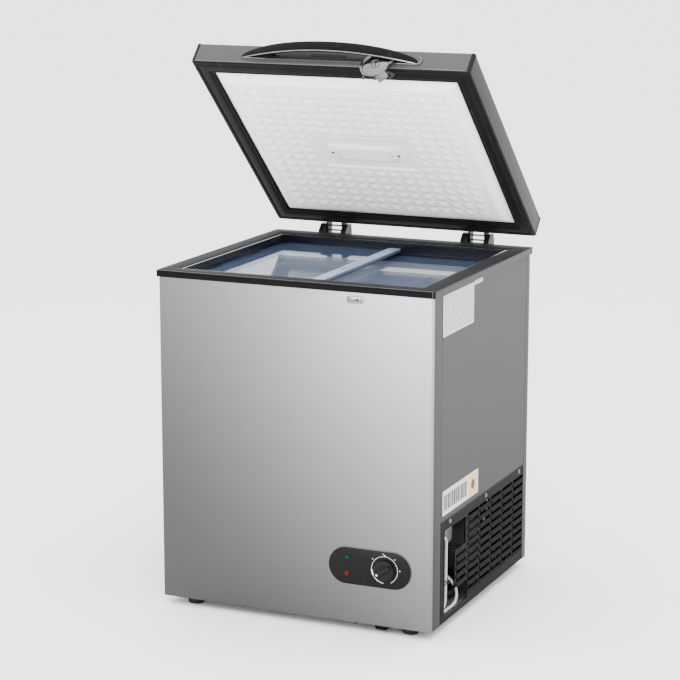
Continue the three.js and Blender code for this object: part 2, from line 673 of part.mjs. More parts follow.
function addHingeBracket(cabinet, side, x) {
  const backPlate = block(
    x - CHEEK_OUTER, x + CHEEK_OUTER, REAR_Y + GAP, REAR_Y + 3.3, RIM_Z - 95, RIM_Z - 16);
  const cheekShape = outline([
    [REAR_Y + GAP, RIM_Z - 95],
    [REAR_Y + 12, RIM_Z - 95],
    [REAR_Y + 44, RIM_Z - 40],
    [REAR_Y + 44, RIM_Z + 4],
    [REAR_Y + 40, RIM_Z + 18],
    [REAR_Y + 20, RIM_Z + 18],
    [REAR_Y + 11, RIM_Z + 10],
    [REAR_Y + 4.8, RIM_Z + 3],
    [REAR_Y + 4.8, RIM_Z - 16],
    [REAR_Y + GAP, RIM_Z - 16],
  ]);
  const cheeks = [-1, 1].map((hand) => {
    const inner = x + hand * CHEEK_INNER;
    const outer = x + hand * CHEEK_OUTER;
    return carryAlongX(cheekShape, Math.min(inner, outer), Math.max(inner, outer));
  });
  const bore = rodAlongX(PIN_RADIUS + GAP, x - 60, x + 60, PIVOT_Y, PIVOT_Z, 16);
  addPart(cabinet, `${side}_hinge_bracket`, cut(join(backPlate, ...cheeks), bore), BLACK_PLASTIC());
  const pin = rodAlongX(PIN_RADIUS, x - CHEEK_OUTER + 1, x + CHEEK_OUTER - 1, PIVOT_Y, PIVOT_Z, 16);
  addPart(cabinet, `${side}_hinge_pin`, pin, CHROME());
}

// ---- lid, in the closed position, measured from the hinge pivot ----

function hullOutline(circle, radius, corners) {
  const points = Array.from({ length: 16 }, (_, i) => {
    const angle = (2 * Math.PI * i) / 16;
    return [circle[0] + radius * Math.cos(angle), circle[1] + radius * Math.sin(angle)];
  }).concat(corners);
  points.sort((a, b) => a[0] - b[0] || a[1] - b[1]);
  const turn = (o, a, b) => (a[0] - o[0]) * (b[1] - o[1]) - (a[1] - o[1]) * (b[0] - o[0]);
  const half = (list) => list.reduce((chain, p) => {
    while (chain.length > 1 && turn(chain[chain.length - 2], chain[chain.length - 1], p) <= 0) {
      chain.pop();
    }
    chain.push(p);
    return chain;
  }, []);
  const lower = half(points);
  const upper = half([...points].reverse());
  return outline([...lower.slice(0, -1), ...upper.slice(0, -1)]);
}

function addHingeArm(lid, side, x) {
  const arm = hullOutline([PIVOT_Y, PIVOT_Z], 9, [
    [LID_REAR + GAP, RIM_Z + 8],
    [LID_REAR + GAP, RIM_Z + 44],
    [LID_REAR + 6, RIM_Z + 44],
  ]);
  const cheeks = [-1, 1].map((hand) => carryAlongX(
    arm, x + hand * 19.25 - 2.25, x + hand * 19.25 + 2.25));
  const web = block(x - 21.5, x + 21.5, LID_REAR + GAP, LID_REAR + 6, RIM_Z + 8, RIM_Z + 44);
  const bore = rodAlongX(PIN_RADIUS + GAP, x - 60, x + 60, PIVOT_Y, PIVOT_Z, 16);
  addPart(lid, `${side}_hinge_arm`, cut(join(web, ...cheeks), bore), BLACK_PLASTIC());
}

const GASKET_BAND = 41;
const LINER_SLOPE = 22;
const LINER_DROP = 9;

function lidLinerLevels(inset, low, high) {
  const x = LID_HALF_WIDTH - GASKET_BAND - GAP - inset;
  const front = LID_FRONT + GASKET_BAND + GAP + inset;
  const rear = LID_REAR - GASKET_BAND - GAP - inset;
  return [
    [-x + LINER_SLOPE, x - LINER_SLOPE, front + LINER_SLOPE, rear - LINER_SLOPE - 14, RIM_Z + low],
    [-x, x, front, rear, RIM_Z + 8 + inset / 2],
    [-x, x, front, rear, RIM_Z + high],
  ];
}

function addLidPanels(lid) {
  const skin = 1.5;
  const bottom = RIM_Z + LID_SKIN_BOTTOM;
  const top = RIM_Z + LID_TOP;
  const plan = (inset, radius) => roundedRectangle(
    -LID_HALF_WIDTH + inset, LID_HALF_WIDTH - inset, LID_FRONT + inset, LID_REAR - inset, radius);
  const hollow = raise(plan(skin, 4.5), bottom - 5, top - skin, 4);
  const shell = cut(raise(plan(0, 6), bottom, top, 4), hollow);
  addPart(lid, 'lid_shell', shell, SIDE_STEEL());

  const inner = skin + GAP;
  const gasketPlan = plan(inner, 4);
  const x = LID_HALF_WIDTH - GASKET_BAND;
  const front = LID_FRONT + GASKET_BAND;
  const rear = LID_REAR - GASKET_BAND;
  gasketPlan.holes.push(outline([[-x, front], [-x, rear], [x, rear], [x, front]]));
  addPart(lid, 'lid_gasket', raise(gasketPlan, RIM_Z + 0.6, RIM_Z + 12, 4), RUBBER());

  const lampRoom = (margin, depth) => block(
    -115 - margin, 115 + margin, -60 - margin, 52 + margin, RIM_Z - 20, RIM_Z - LINER_DROP + depth);
  const linerInside = cut(loft(lidLinerLevels(2, -LINER_DROP + 2, 20)), lampRoom(3, 6));
  const liner = cut(loft(lidLinerLevels(0, -LINER_DROP, 12)), linerInside, lampRoom(0, 4));
  addPart(lid, 'lid_liner', liner, WHITE_PLASTIC());

  const slab = raise(plan(inner, 4), RIM_Z + 12 + GAP, top - inner, 4);
  const plug = cut(loft(lidLinerLevels(2 + GAP, -LINER_DROP + 2 + GAP, 14)), lampRoom(4, 6.5));
  addPart(lid, 'lid_foam', join(slab, plug), FOAM());

  const lampBase = RIM_Z - LINER_DROP + 4 - GAP;
  const lamp = raise(roundedRectangle(-90, 90, -30, 24, 8), lampBase - 3, lampBase, 4);
  const lens = loft([
    [-64, 64, -20, 14, lampBase - 6.5],
    [-70, 70, -26, 20, lampBase - 2],
  ]);
  addPart(lid, 'lid_lamp_cover', join(lamp, lens), WHITE_PLASTIC());
}

function arcOutline(halfSpan, rise, depth) {
  const radius = (halfSpan * halfSpan + rise * rise) / (2 * rise);
  const sweep = Math.asin(halfSpan / radius);
  const innerHalf = halfSpan - 16;
  const innerRise = rise - depth;
  const innerRadius = (innerHalf * innerHalf + innerRise * innerRise) / (2 * innerRise);
  const innerSweep = Math.asin(innerHalf / innerRadius);
  const shape = new THREE.Shape();
  const up = -Math.PI / 2;
  shape.absarc(0, radius - rise, radius, up - sweep, up + sweep, false);
  shape.absarc(0, innerRadius - innerRise, innerRadius, up + innerSweep, up - innerSweep, true);
  return shape;
}

const HANDLE = { halfSpan: 206, rise: 38, depth: 11, blockX: 165, blockHalf: 36, blockDepth: 12, base: 3 };

function addHandle(lid) {
  const { halfSpan, rise, depth, blockX, blockHalf, blockDepth, base } = HANDLE;
  const faceY = LID_FRONT - GAP;
  const plateShape = roundedRectangle(-halfSpan - 8, halfSpan + 8, RIM_Z + 14, RIM_Z + 40, 12);
  const plate = carryAlongY(plateShape, faceY - base, faceY, 5);
  const blocks = [-blockX, blockX].map((middle) => {
    const shape = roundedRectangle(middle - blockHalf, middle + blockHalf, RIM_Z + 15, RIM_Z + 39, 6);
    return carryAlongY(shape, faceY - blockDepth, faceY - base + 1, 3);
  });
  addPart(lid, 'handle_base', join(plate, ...blocks), BLACK_PLASTIC());
  const bow = raise(arcOutline(halfSpan, rise, depth), RIM_Z + 16, RIM_Z + 38, 24);
  bow.translate(0, faceY - base - GAP, 0);
  const inner = blockX - blockHalf - GAP;
  const clear = [-1, 1].map((hand) => block(
    Math.min(hand * inner, hand * BEYOND), Math.max(hand * inner, hand * BEYOND),
    faceY - blockDepth - GAP, faceY, RIM_Z, RIM_Z + 60));
  addPart(lid, 'handle_grip', cut(bow, ...clear), BLACK_PLASTIC());
}

const LOCK = {
  x: 118,
  z: RIM_Z + 2,
  plateFront: LID_FRONT - 14,
  plateBack: LID_FRONT - 10,
  dome: 33,
  barrel: 7,
  hub: 12,
  hubRoom: 13.5,
};
const HOOK_REST_DEGREES = -24;
const LATCH_COVER = { x: 22, z: -30, halfWidth: 9, halfHeight: 12, tiltDegrees: 40 };

function lockPlateOutline() {
  const { x, z, dome } = LOCK;
  const shape = new THREE.Shape();
  shape.absarc(x - 4, z + 2, dome, Math.PI * 0.98, Math.PI * 2.02, false);
  shape.lineTo(x + 37, z + 12.5);
  shape.lineTo(x + 9.5, z + 12.5);
  shape.lineTo(x + 9.5, z + 29);
  shape.lineTo(x - 19, z + 29);
  shape.lineTo(x - 31, z + 12.5);
  return shape;
}

function addLock(lid) {
  const { x, z, plateFront, plateBack, barrel, hubRoom } = LOCK;
  const plate = carryAlongY(lockPlateOutline(), plateFront, plateBack, 18);
  const { halfWidth, halfHeight, tiltDegrees } = LATCH_COVER;
  const cover = block(-halfWidth, halfWidth, plateFront, plateBack + 1, -halfHeight, halfHeight);
  cover.rotateY(THREE.MathUtils.degToRad(tiltDegrees)).translate(x + LATCH_COVER.x, 0, z + LATCH_COVER.z);
  const mount = block(x - 26, x + 18, plateBack - 1, LID_FRONT - GAP, RIM_Z + 5, RIM_Z + 13.5);
  const barrelHole = rodAlongY(barrel + GAP, plateFront - 5, LID_FRONT + 10, x, z, 20);
  const hookRoom = rodAlongY(hubRoom, LID_FRONT - 9.4, LID_FRONT + 3, x, z, 20);
  addPart(lid, 'lock_body', cut(join(plate, cover, mount), barrelHole, hookRoom), CHROME());

  const cylinder = rodAlongY(barrel, plateFront - 2, LID_FRONT - 2.5, x, z, 20);
  const keyway = block(x - 1, x + 1, plateFront - 3, plateFront + 3, z - 4.5, z + 3);
  addPart(lid, 'lock_cylinder', cut(cylinder, keyway), CHROME());

  const hook = carryAlongY(hookOutline(), -1.5, 1.5, 6);
  hook.rotateY(THREE.MathUtils.degToRad(-HOOK_REST_DEGREES)).translate(x, LID_FRONT - 6.5, z);
  const hubBore = rodAlongY(barrel + GAP, LID_FRONT - 12, LID_FRONT, x, z, 20);
  addPart(lid, 'lock_hook', cut(hook, hubBore), CHROME());
}

// The hook lies along +X from its hub, with its finger bent downwards at the tip.
function hookOutline() {
  const shape = new THREE.Shape();
  const fingerSweep = THREE.MathUtils.degToRad(13);
  shape.absarc(0, 0, LOCK.hub, 0.2, 2 * Math.PI - 0.2, false);
  shape.lineTo(45.5, -2);
  shape.absarc(0, 0, 45.5, -0.05, -fingerSweep, true);
  shape.absarc(0, 0, 50, -fingerSweep, 0.06, false);
  shape.lineTo(48, 2.2);
  return shape;
}

function buildLid() {
  const swing = new THREE.Group();
  const closed = new THREE.Group();
  addLidPanels(closed);
  addHandle(closed);
  addLock(closed);
  addHingeArm(closed, 'left', -HINGE_X);
  addHingeArm(closed, 'right', HINGE_X);
  closed.position.set(0, -PIVOT_Y, -PIVOT_Z);
  swing.add(closed);
  swing.position.set(0, PIVOT_Y, PIVOT_Z);
  swing.rotation.x = -THREE.MathUtils.degToRad(LID_OPEN_ANGLE);
  return swing;
}

// ---- assembly ----

function buildFreezer() {
  const freezer = new THREE.Group();
  addCasing(freezer);
  addFeet(freezer);
  addTub(freezer);
  addCollar(freezer);
  addGlassCovers(freezer);
  addBasket(freezer);
  addControls(freezer);
  addStrike(freezer);
  addGrille(freezer);
  addMachineBay(freezer);
  addRefrigerantCircuit(freezer);
  addCoils(freezer);
  addMainsLead(freezer);
  addHingeBracket(freezer, 'left', -HINGE_X);
  addHingeBracket(freezer, 'right', HINGE_X);
  freezer.add(buildLid());
  return freezer;
}

const LEAD_PARTS = ['mains_cord', 'cord_hank', 'mains_cord_tail', 'mains_plug'];

// The origin goes under the middle of the freezer's box, which leaves the mains lead out.
function standOnOrigin(freezer) {
  freezer.updateMatrixWorld(true);
  const box = new THREE.Box3();
  freezer.traverse((node) => {
    if (node.isMesh && !LEAD_PARTS.includes(node.name)) {
      box.expandByObject(node, true);
    }
  });
  const middle = box.getCenter(new THREE.Vector3());
  freezer.position.set(-middle.x, -middle.y, -box.min.z);
  return freezer;
}

export default standOnOrigin(buildFreezer());
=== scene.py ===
import json
import random
from math import atan2, copysign, cos, pi, radians, sin, sqrt

import bmesh
import bpy
from mathutils import Matrix, Vector


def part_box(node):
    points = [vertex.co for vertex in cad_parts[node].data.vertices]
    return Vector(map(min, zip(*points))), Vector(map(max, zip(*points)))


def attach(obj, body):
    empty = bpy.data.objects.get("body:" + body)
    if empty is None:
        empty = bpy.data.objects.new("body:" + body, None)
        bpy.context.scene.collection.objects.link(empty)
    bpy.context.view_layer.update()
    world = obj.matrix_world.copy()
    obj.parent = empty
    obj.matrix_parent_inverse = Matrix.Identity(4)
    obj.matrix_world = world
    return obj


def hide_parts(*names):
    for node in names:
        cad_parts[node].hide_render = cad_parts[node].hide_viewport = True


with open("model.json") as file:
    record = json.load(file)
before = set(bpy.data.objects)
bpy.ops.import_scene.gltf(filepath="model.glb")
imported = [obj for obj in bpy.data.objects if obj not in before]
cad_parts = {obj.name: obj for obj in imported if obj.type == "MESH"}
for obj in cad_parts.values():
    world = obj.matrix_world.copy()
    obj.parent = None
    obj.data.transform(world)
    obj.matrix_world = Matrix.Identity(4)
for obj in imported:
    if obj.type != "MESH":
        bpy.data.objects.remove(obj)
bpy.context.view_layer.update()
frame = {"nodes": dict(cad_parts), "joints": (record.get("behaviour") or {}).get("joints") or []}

random.seed(7)

# Shapes are drawn in millimetres round the cabinet's own middle, with the lid closed, and then placed.
MM = 0.001
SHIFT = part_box("front_panel")[0].y + 0.300
JOINTS = {joint["name"]: joint for joint in frame["joints"]}
PIVOT = Vector(JOINTS["lid_hinge"]["pos_m"])
LID_OPEN = radians(-JOINTS["lid_hinge"]["range_deg"][0])
CABINET = Matrix.Translation((0, SHIFT, 0)) @ Matrix.Diagonal((MM, MM, MM, 1))
LID = Matrix.Translation(PIVOT) @ Matrix.Rotation(-LID_OPEN, 4, "X") @ Matrix.Translation(-PIVOT) @ CABINET
PIVOT_Y, PIVOT_Z = 334.0, 745.0
RIM = 755.0
HALF_WIDTH, FRONT_Y, REAR_Y = 320.0, -300.0, 300.0
SHEET_LOW, SHEET_TOP = 20.0, 739.7


# ---- mesh building ----

def placed(axis, along, p):
    return {"X": (along, p[0], p[1]), "Y": (p[0], along, p[1]), "Z": (p[0], p[1], along)}[axis]


class Shape:
    def __init__(self):
        self.verts, self.faces, self.tags = [], [], []

    def add(self, verts, faces):
        base = len(self.verts)
        self.verts.extend(verts)
        self.faces.extend(tuple(base + i for i in face) for face in faces)
        self.tags.extend([0] * len(faces))
        return self

    def loft(self, rings, caps=(True, True), loop=False):
        n, count = len(rings[0]), len(rings)
        faces = []
        for k in range(count if loop else count - 1):
            a, b = k * n, ((k + 1) % count) * n
            faces += [(a + i, a + (i + 1) % n, b + (i + 1) % n, b + i) for i in range(n)]
        if not loop and caps[0]:
            faces.append(tuple(reversed(range(n))))
        if not loop and caps[1]:
            faces.append(tuple((count - 1) * n + i for i in range(n)))
        return self.add([p for ring in rings for p in ring], faces)

    def box(self, x0, x1, y0, y1, z0, z1):
        return self.loft([[(x0, y0, z), (x1, y0, z), (x1, y1, z), (x0, y1, z)] for z in (z0, z1)])

    def prism(self, outline, axis, a, b):
        return self.loft([[placed(axis, t, p) for p in outline] for t in (a, b)])

    def lathe(self, profile, centre, axis, steps, loop=False):
        rings = []
        for radius, along in profile:
            ring = []
            for i in range(steps):
                angle = 2 * pi * i / steps
                x, y, z = placed(axis, along, (radius * cos(angle), radius * sin(angle)))
                ring.append((x + centre[0], y + centre[1], z + centre[2]))
            rings.append(ring)
        return self.loft(rings, loop=loop)

    def tube(self, points, radius, sides, loop=False):
        line = [Vector(p) for p in points]
        count = len(line)
        tangents = []
        for i in range(count):
            after = line[(i + 1) % count] if loop or i < count - 1 else line[i]
            before = line[i - 1] if loop or i > 0 else line[i]
            tangents.append((after - before).normalized())
        side = tangents[0].orthogonal().normalized()
        rings = []
        for point, tangent in zip(line, tangents):
            side = (side - tangent * side.dot(tangent)).normalized()
            other = tangent.cross(side)
            rings.append([
                tuple(point + radius * (cos(a) * side + sin(a) * other))
                for a in (2 * pi * i / sides for i in range(sides))])
        return self.loft(rings, loop=loop)

    def rod(self, start, end, radius, sides=8):
        middle = tuple((a + b) / 2 for a, b in zip(start, end))
        return self.tube([start, middle, end], radius, sides)

    def screw(self, centre, axis, sign, radius):
        """The low domed head of a screw, which stands out along the axis."""
        dome = ((0, 0), (1, 0), (1, 0.9), (0.82, 1.6), (0.4, 1.9), (0, 1.9))
        return self.lathe([(radius * share, sign * out) for share, out in dome], centre, axis, 20)


def rounded(x0, x1, y0, y1, radius, steps=6):
    points = []
    corners = ((x1 - radius, y1 - radius, 0), (x0 + radius, y1 - radius, 90),
               (x0 + radius, y0 + radius, 180), (x1 - radius, y0 + radius, 270))
    for cx, cy, start in corners:
        for i in range(steps + 1):
            angle = radians(start + 90 * i / steps)
            points.append((cx + radius * cos(angle), cy + radius * sin(angle)))
    return points


def level_ring(x0, x1, y0, y1, radius, z, steps=6):
    return [(x, y, z) for x, y in rounded(x0, x1, y0, y1, radius, steps)]


def arc(cx, cy, radius, a0, a1, steps):
    angles = (radians(a0 + (a1 - a0) * i / steps) for i in range(steps + 1))
    return [(cx + radius * cos(a), cy + radius * sin(a)) for a in angles]


def drawn_in(x0, x1, y0, y1, radius, steps=6, fixed=False):
    """A rounded outline that is drawn in by e, with its corners eased as well or left as they are."""
    return lambda e: rounded(x0 + e, x1 - e, y0 + e, y1 - e, radius if fixed else radius - e, steps)


def square_in(x0, x1, y0, y1):
    """An outline with four sharp corners that is drawn in by e."""
    return lambda e: [(x0 + e, y0 + e), (x1 - e, y0 + e), (x1 - e, y1 - e), (x0 + e, y1 - e)]


def pillow(shape, outline_at, axis, a, b, edge):
    """A plate carried along an axis whose rims are rounded over by edge at its b end."""
    sign = 1 if b > a else -1
    rings = [[placed(axis, a, p) for p in outline_at(0)]]
    for turn in (radians(30 * i) for i in range(4)):
        inset, along = edge * (1 - cos(turn)), b - sign * edge * (1 - sin(turn))
        rings.append([placed(axis, along, p) for p in outline_at(inset)])
    shape.loft(rings)


def in_scene(name, data):
    made = bpy.data.objects.new(name, data)
    bpy.context.scene.collection.objects.link(made)
    return made


def ease(piece, width, angle, harden=False):
    rounding = piece.modifiers.new("edges", "BEVEL")
    rounding.width = width * MM
    rounding.segments = 2
    rounding.limit_method = "ANGLE"
    rounding.angle_limit = radians(angle)
    rounding.harden_normals = harden


def make(name, shape, body, material, replaces=(), bevel=0.0, angle=35):
    """A piece of its own from a shape, riding on a body and wearing one material or two."""
    place = LID if body in ("lid", "lock_barrel") else CABINET
    mesh = bpy.data.meshes.new(name)
    bm = bmesh.new()
    verts = [bm.verts.new(place @ Vector(v)) for v in shape.verts]
    for face, tag in zip(shape.faces, shape.tags):
        made = bm.faces.new([verts[i] for i in face])
        made.material_index = tag
        made.smooth = True
    bmesh.ops.remove_doubles(bm, verts=bm.verts, dist=2e-6)
    bmesh.ops.recalc_face_normals(bm, faces=bm.faces)
    bm.to_mesh(mesh)
    bm.free()
    mesh.set_sharp_from_angle(angle=radians(angle))
    for one in material if isinstance(material, list) else [material]:
        mesh.materials.append(one)
    piece = in_scene(name, mesh)
    if bevel:
        ease(piece, bevel, 30, harden=True)
    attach(piece, body)
    if replaces:
        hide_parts(*replaces)
    return piece


# ---- materials ----

def add_node(material, kind, values=None, **sources):
    """A shader node with some sockets set to values and others fed from sources."""
    made = material.node_tree.nodes.new(kind)
    for socket, value in (values or {}).items():
        made.inputs[socket].default_value = value
    for socket, source in sources.items():
        material.node_tree.links.new(source, made.inputs[socket])
    return made


def spread(material, source, low, high, out_low, out_high):
    limits = {"From Min": low, "From Max": high, "To Min": out_low, "To Max": out_high}
    return add_node(material, "ShaderNodeMapRange", limits, Value=source).outputs["Result"]


def surface(name, color, rough, metal=0.0, tone=0.05, patch=6.0, grain=900.0, stretch=(1, 1, 1),
            bump=0.15, depth=0.0002, rough_range=0.08, scuff=0.0, scuff_color=None, shine=0.5,
            speckle=0.0, painted_shade_ramp=None, sockets=None):
    """A finish with broad and fine mottling, worn marks, fine relief and an optional painted shade that
    darkens the colour along a line.
    """
    material = bpy.data.materials.new(name)
    material.use_nodes = True
    shader = material.node_tree.nodes["Principled BSDF"]
    shader.inputs["Metallic"].default_value = metal
    shader.inputs["Specular IOR Level"].default_value = shine
    for socket, value in (sockets or {}).items():
        shader.inputs[socket].default_value = value
    where = add_node(material, "ShaderNodeTexCoord").outputs["Object"]

    def noise(scale, detail, stretched=(1, 1, 1)):
        mapping = add_node(material, "ShaderNodeMapping", {"Scale": stretched}, Vector=where)
        field = add_node(material, "ShaderNodeTexNoise", {"Scale": scale, "Detail": detail},
                         Vector=mapping.outputs["Vector"])
        return field.outputs["Fac"]

    def ramp(source, low, high, from_color, to_color):
        made = add_node(material, "ShaderNodeValToRGB", Fac=source)
        for stop, place, value in zip(made.color_ramp.elements, (low, high), (from_color, to_color)):
            stop.position = place
            stop.color = (*value, 1)
        return made.outputs["Color"]

    def mix(factor, a, b):
        made = add_node(material, "ShaderNodeMix", Factor=factor)
        made.data_type = "RGBA"
        for source, socket in ((a, made.inputs[6]), (b, made.inputs[7])):
            if isinstance(source, tuple):
                socket.default_value = (*source, 1)
            else:
                material.node_tree.links.new(source, socket)
        return made.outputs[2]

    darker = tuple(max(0.0, c * (1 - tone)) for c in color)
    lighter = tuple(min(1.0, c * (1 + tone)) for c in color)
    fine = noise(grain, 3.0, stretch)
    shade = ramp(noise(patch, 3.0), 0.3, 0.7, darker, lighter)
    if speckle:
        flecks = ramp(fine, 0.42, 0.6, (0, 0, 0), (1, 1, 1))
        flecked = tuple(min(1.0, c * (1 + speckle)) for c in color)
        amount = add_node(material, "ShaderNodeMath", {1: 0.5}, Value=flecks)
        amount.operation = "MULTIPLY"
        shade = mix(amount.outputs["Value"], shade, flecked)
    smoothest, roughest = max(0.02, rough - rough_range), min(1.0, rough + rough_range)
    roughness = spread(material, fine, 0.3, 0.7, smoothest, roughest)
    if scuff:
        marks = ramp(noise(38.0, 6.0, (1, 1, 0.35)), 0.66 - 0.1 * scuff, 0.72, (0, 0, 0), (1, 1, 1))
        shade = mix(marks, shade, scuff_color or lighter)
    # Painted shade: the colour darkens along a line, down to the painted shade tone at its far end.
    if painted_shade_ramp:
        direction, start, end, painted_shade_tone, curve = painted_shade_ramp
        along = add_node(material, "ShaderNodeVectorMath", {1: direction}, Vector=where)
        along.operation = "DOT_PRODUCT"
        unshaded_share = add_node(material, "ShaderNodeMath", {1: curve},
                            Value=spread(material, along.outputs["Value"], start, end, 1.0, 0.0))
        unshaded_share.operation = "POWER"
        shade = mix(unshaded_share.outputs["Value"], tuple(c * painted_shade_tone for c in color), shade)
    relief = add_node(material, "ShaderNodeBump", {"Strength": bump, "Distance": depth}, Height=fine)
    fed = {"Base Color": shade, "Roughness": roughness, "Normal": relief.outputs["Normal"]}
    for socket, source in fed.items():
        material.node_tree.links.new(source, shader.inputs[socket])
    return material


# Painted shade and reflection: the front steel is lightest at the upper right and darkens towards the lower
# left, down to 0.17 of its colour.
BRUSHED = surface("brushed_front_steel", (0.34, 0.34, 0.344), 0.34, 0.85, tone=0.02, grain=420.0,
                  stretch=(0.05, 1, 5.0), bump=0.08, depth=0.0001, rough_range=0.07, speckle=0.10,
                  painted_shade_ramp=((-0.71, 0.0, -0.71), -0.72, 0.14, 0.17, 1.9))
# Painted shade: the side steel darkens towards the bottom, down to 0.42 of its colour.
SIDE = surface("painted_side_steel", (0.052, 0.052, 0.053), 0.46, 0.08, tone=0.03, grain=700.0, bump=0.12,
               rough_range=0.06, painted_shade_ramp=((0.0, 0.0, -1.0), -0.74, -0.20, 0.42, 0.8), shine=0.07)
# Painted shade: the lid's right-hand side face is painted darker, at 0.40 of the colour.
LID_PAINT = surface("lid_painted_steel", (0.056, 0.056, 0.057), 0.42, 0.10, tone=0.03, grain=700.0,
                    bump=0.10, rough_range=0.06, painted_shade_ramp=((1.0, 0.0, 0.0), 0.3184, 0.3196, 0.40, 1.0),
                    shine=0.09)
ZINC = surface("galvanised_sheet", (0.30, 0.31, 0.32), 0.45, 0.85, tone=0.14, patch=55.0, grain=260.0,
               bump=0.15, rough_range=0.14)
COLLAR = surface("collar_grey_plastic", (0.009, 0.009, 0.0098), 0.62, tone=0.05, grain=1300.0, bump=0.25,
                 shine=0.06)
BLACK = surface("black_moulded_plastic", (0.004, 0.004, 0.0043), 0.44, tone=0.12, grain=1400.0, bump=0.30,
                scuff=0.2, scuff_color=(0.012, 0.012, 0.0125), shine=0.12)
GLOSS_BLACK = surface("gloss_black_plate", (0.003, 0.003, 0.0033), 0.24, tone=0.15, grain=500.0, bump=0.04,
                      rough_range=0.05, shine=0.10)
GRIP = surface("handle_grip_plastic", (0.003, 0.003, 0.0033), 0.55, tone=0.12, grain=1500.0, bump=0.20,
               scuff=0.15, scuff_color=(0.008, 0.008, 0.0085), shine=0.05)
RUBBER = surface("gasket_rubber", (0.0035, 0.0035, 0.0038), 0.60, tone=0.16, patch=14.0, grain=1100.0,
                 bump=0.20, scuff=0.2, scuff_color=(0.008, 0.008, 0.0085), shine=0.10)
FOOT = surface("foot_rubber", (0.008, 0.008, 0.0085), 0.66, tone=0.2, patch=60.0, grain=900.0, bump=0.4,
               scuff=0.5, scuff_color=(0.03, 0.03, 0.029), shine=0.2)
LINER = surface("white_formed_liner", (0.88, 0.885, 0.89), 0.40, tone=0.012, grain=500.0, bump=0.08,
                rough_range=0.06)
WHITE = surface("white_plastic", (0.82, 0.83, 0.84), 0.33, tone=0.02, grain=1000.0, bump=0.1)
WIRE = surface("coated_wire", (0.90, 0.91, 0.93), 0.30, tone=0.03, patch=40.0, grain=800.0, bump=0.12,
               scuff=0.1, scuff_color=(0.7, 0.71, 0.72))
TRACK = surface("cover_track_plastic", (0.002, 0.003, 0.008), 0.22, tone=0.12, grain=900.0, bump=0.08,
                shine=0.3)
RAIL = surface("pane_rail_plastic", (0.07, 0.10, 0.17), 0.24, tone=0.10, patch=30.0, grain=900.0, bump=0.06)
# Painted highlight: light lines along the pane rails' ridges and the cover's grip ribs.
RAIL_PAINTED_HIGHLIGHT = surface("pane_rail_highlight", (0.50, 0.57, 0.70), 0.30, tone=0.05, patch=40.0, grain=900.0,
                    bump=0.06)
FOAM = surface("cut_foam", (0.78, 0.70, 0.45), 0.9, tone=0.08, patch=90.0, grain=1500.0, bump=0.8,
               depth=0.0006)
CHROME = surface("polished_chrome", (0.17, 0.173, 0.18), 0.18, 1.0, tone=0.10, patch=45.0, grain=700.0,
                 stretch=(0.2, 1, 1), bump=0.05, rough_range=0.06, scuff=0.15,
                 scuff_color=(0.17, 0.17, 0.175))
SATIN_CHROME = surface("satin_chrome", (0.12, 0.122, 0.126), 0.30, 1.0, tone=0.10, patch=60.0, grain=800.0,
                       bump=0.08, rough_range=0.08)
HINGE = surface("hinge_black_paint", (0.004, 0.004, 0.0043), 0.40, tone=0.2, patch=70.0, grain=900.0,
                bump=0.2, scuff=0.4, scuff_color=(0.02, 0.02, 0.02), shine=0.2)
ENAMEL = surface("compressor_enamel", (0.022, 0.022, 0.023), 0.42, tone=0.08, patch=25.0, grain=300.0,
                 bump=0.03, depth=0.0001, shine=0.20)
COPPER = surface("drawn_copper", (0.45, 0.20, 0.11), 0.26, 1.0, tone=0.2, patch=70.0, grain=600.0, bump=0.1,
                 rough_range=0.12, scuff=0.6, scuff_color=(0.25, 0.11, 0.07))
BOX_GREY = surface("terminal_box_plastic", (0.035, 0.036, 0.038), 0.48, tone=0.06, grain=1200.0, bump=0.25)
CORD = surface("cord_sheath", (0.36, 0.365, 0.36), 0.42, tone=0.06, patch=55.0, grain=900.0, bump=0.2,
               scuff=0.3, scuff_color=(0.34, 0.34, 0.33))
GRILLE = surface("grille_plastic", (0.0022, 0.0022, 0.0025), 0.55, tone=0.12, patch=24.0, grain=1300.0,
                 bump=0.3, scuff=0.3, scuff_color=(0.006, 0.006, 0.0063), shine=0.04)
SLAT = surface("louvre_plastic", (0.008, 0.008, 0.0083), 0.60, tone=0.12, patch=24.0, grain=1300.0, bump=0.3,
               scuff=0.3, scuff_color=(0.009, 0.009, 0.0095), shine=0.02)
# White print on the dial, also used for the painted highlight on the knob.
PRINT_AND_HIGHLIGHT_WHITE = surface("printed_white_and_painted_highlight", (0.62, 0.62, 0.62), 0.5, tone=0.03, grain=1500.0, bump=0.05)
PAPER = surface("label_film", (0.46, 0.46, 0.46), 0.35, tone=0.03, patch=50.0, grain=700.0, bump=0.1)
# Printed ink on the labels, also used as painted shade in the strike's recesses, the lock's gaps and the key
# slot.
INK_AND_PAINTED_SHADE = surface("label_ink_and_painted_shade", (0.03, 0.03, 0.032), 0.45, tone=0.15, patch=90.0, grain=900.0, bump=0.05,
              shine=0.2)
PALE_INK = surface("label_pale_ink", (0.13, 0.135, 0.14), 0.45, tone=0.1, patch=90.0, grain=900.0, bump=0.05)
AMBER = surface("label_amber", (0.72, 0.36, 0.04), 0.4, tone=0.06, patch=60.0, grain=900.0, bump=0.05)
GREEN_LENS = surface("green_lens", (0.0, 0.030, 0.018), 0.20, tone=0.1, patch=200.0, grain=500.0, bump=0.02,
                     shine=0.06)
RED_LENS = surface("red_lens", (0.085, 0.0015, 0.0028), 0.20, tone=0.1, patch=200.0, grain=500.0, bump=0.02,
                   shine=0.06)
LENS = surface("lamp_lens", (0.72, 0.74, 0.76), 0.25, tone=0.03, patch=40.0, grain=300.0, bump=0.1,
               sockets={"Coat Weight": 0.2})


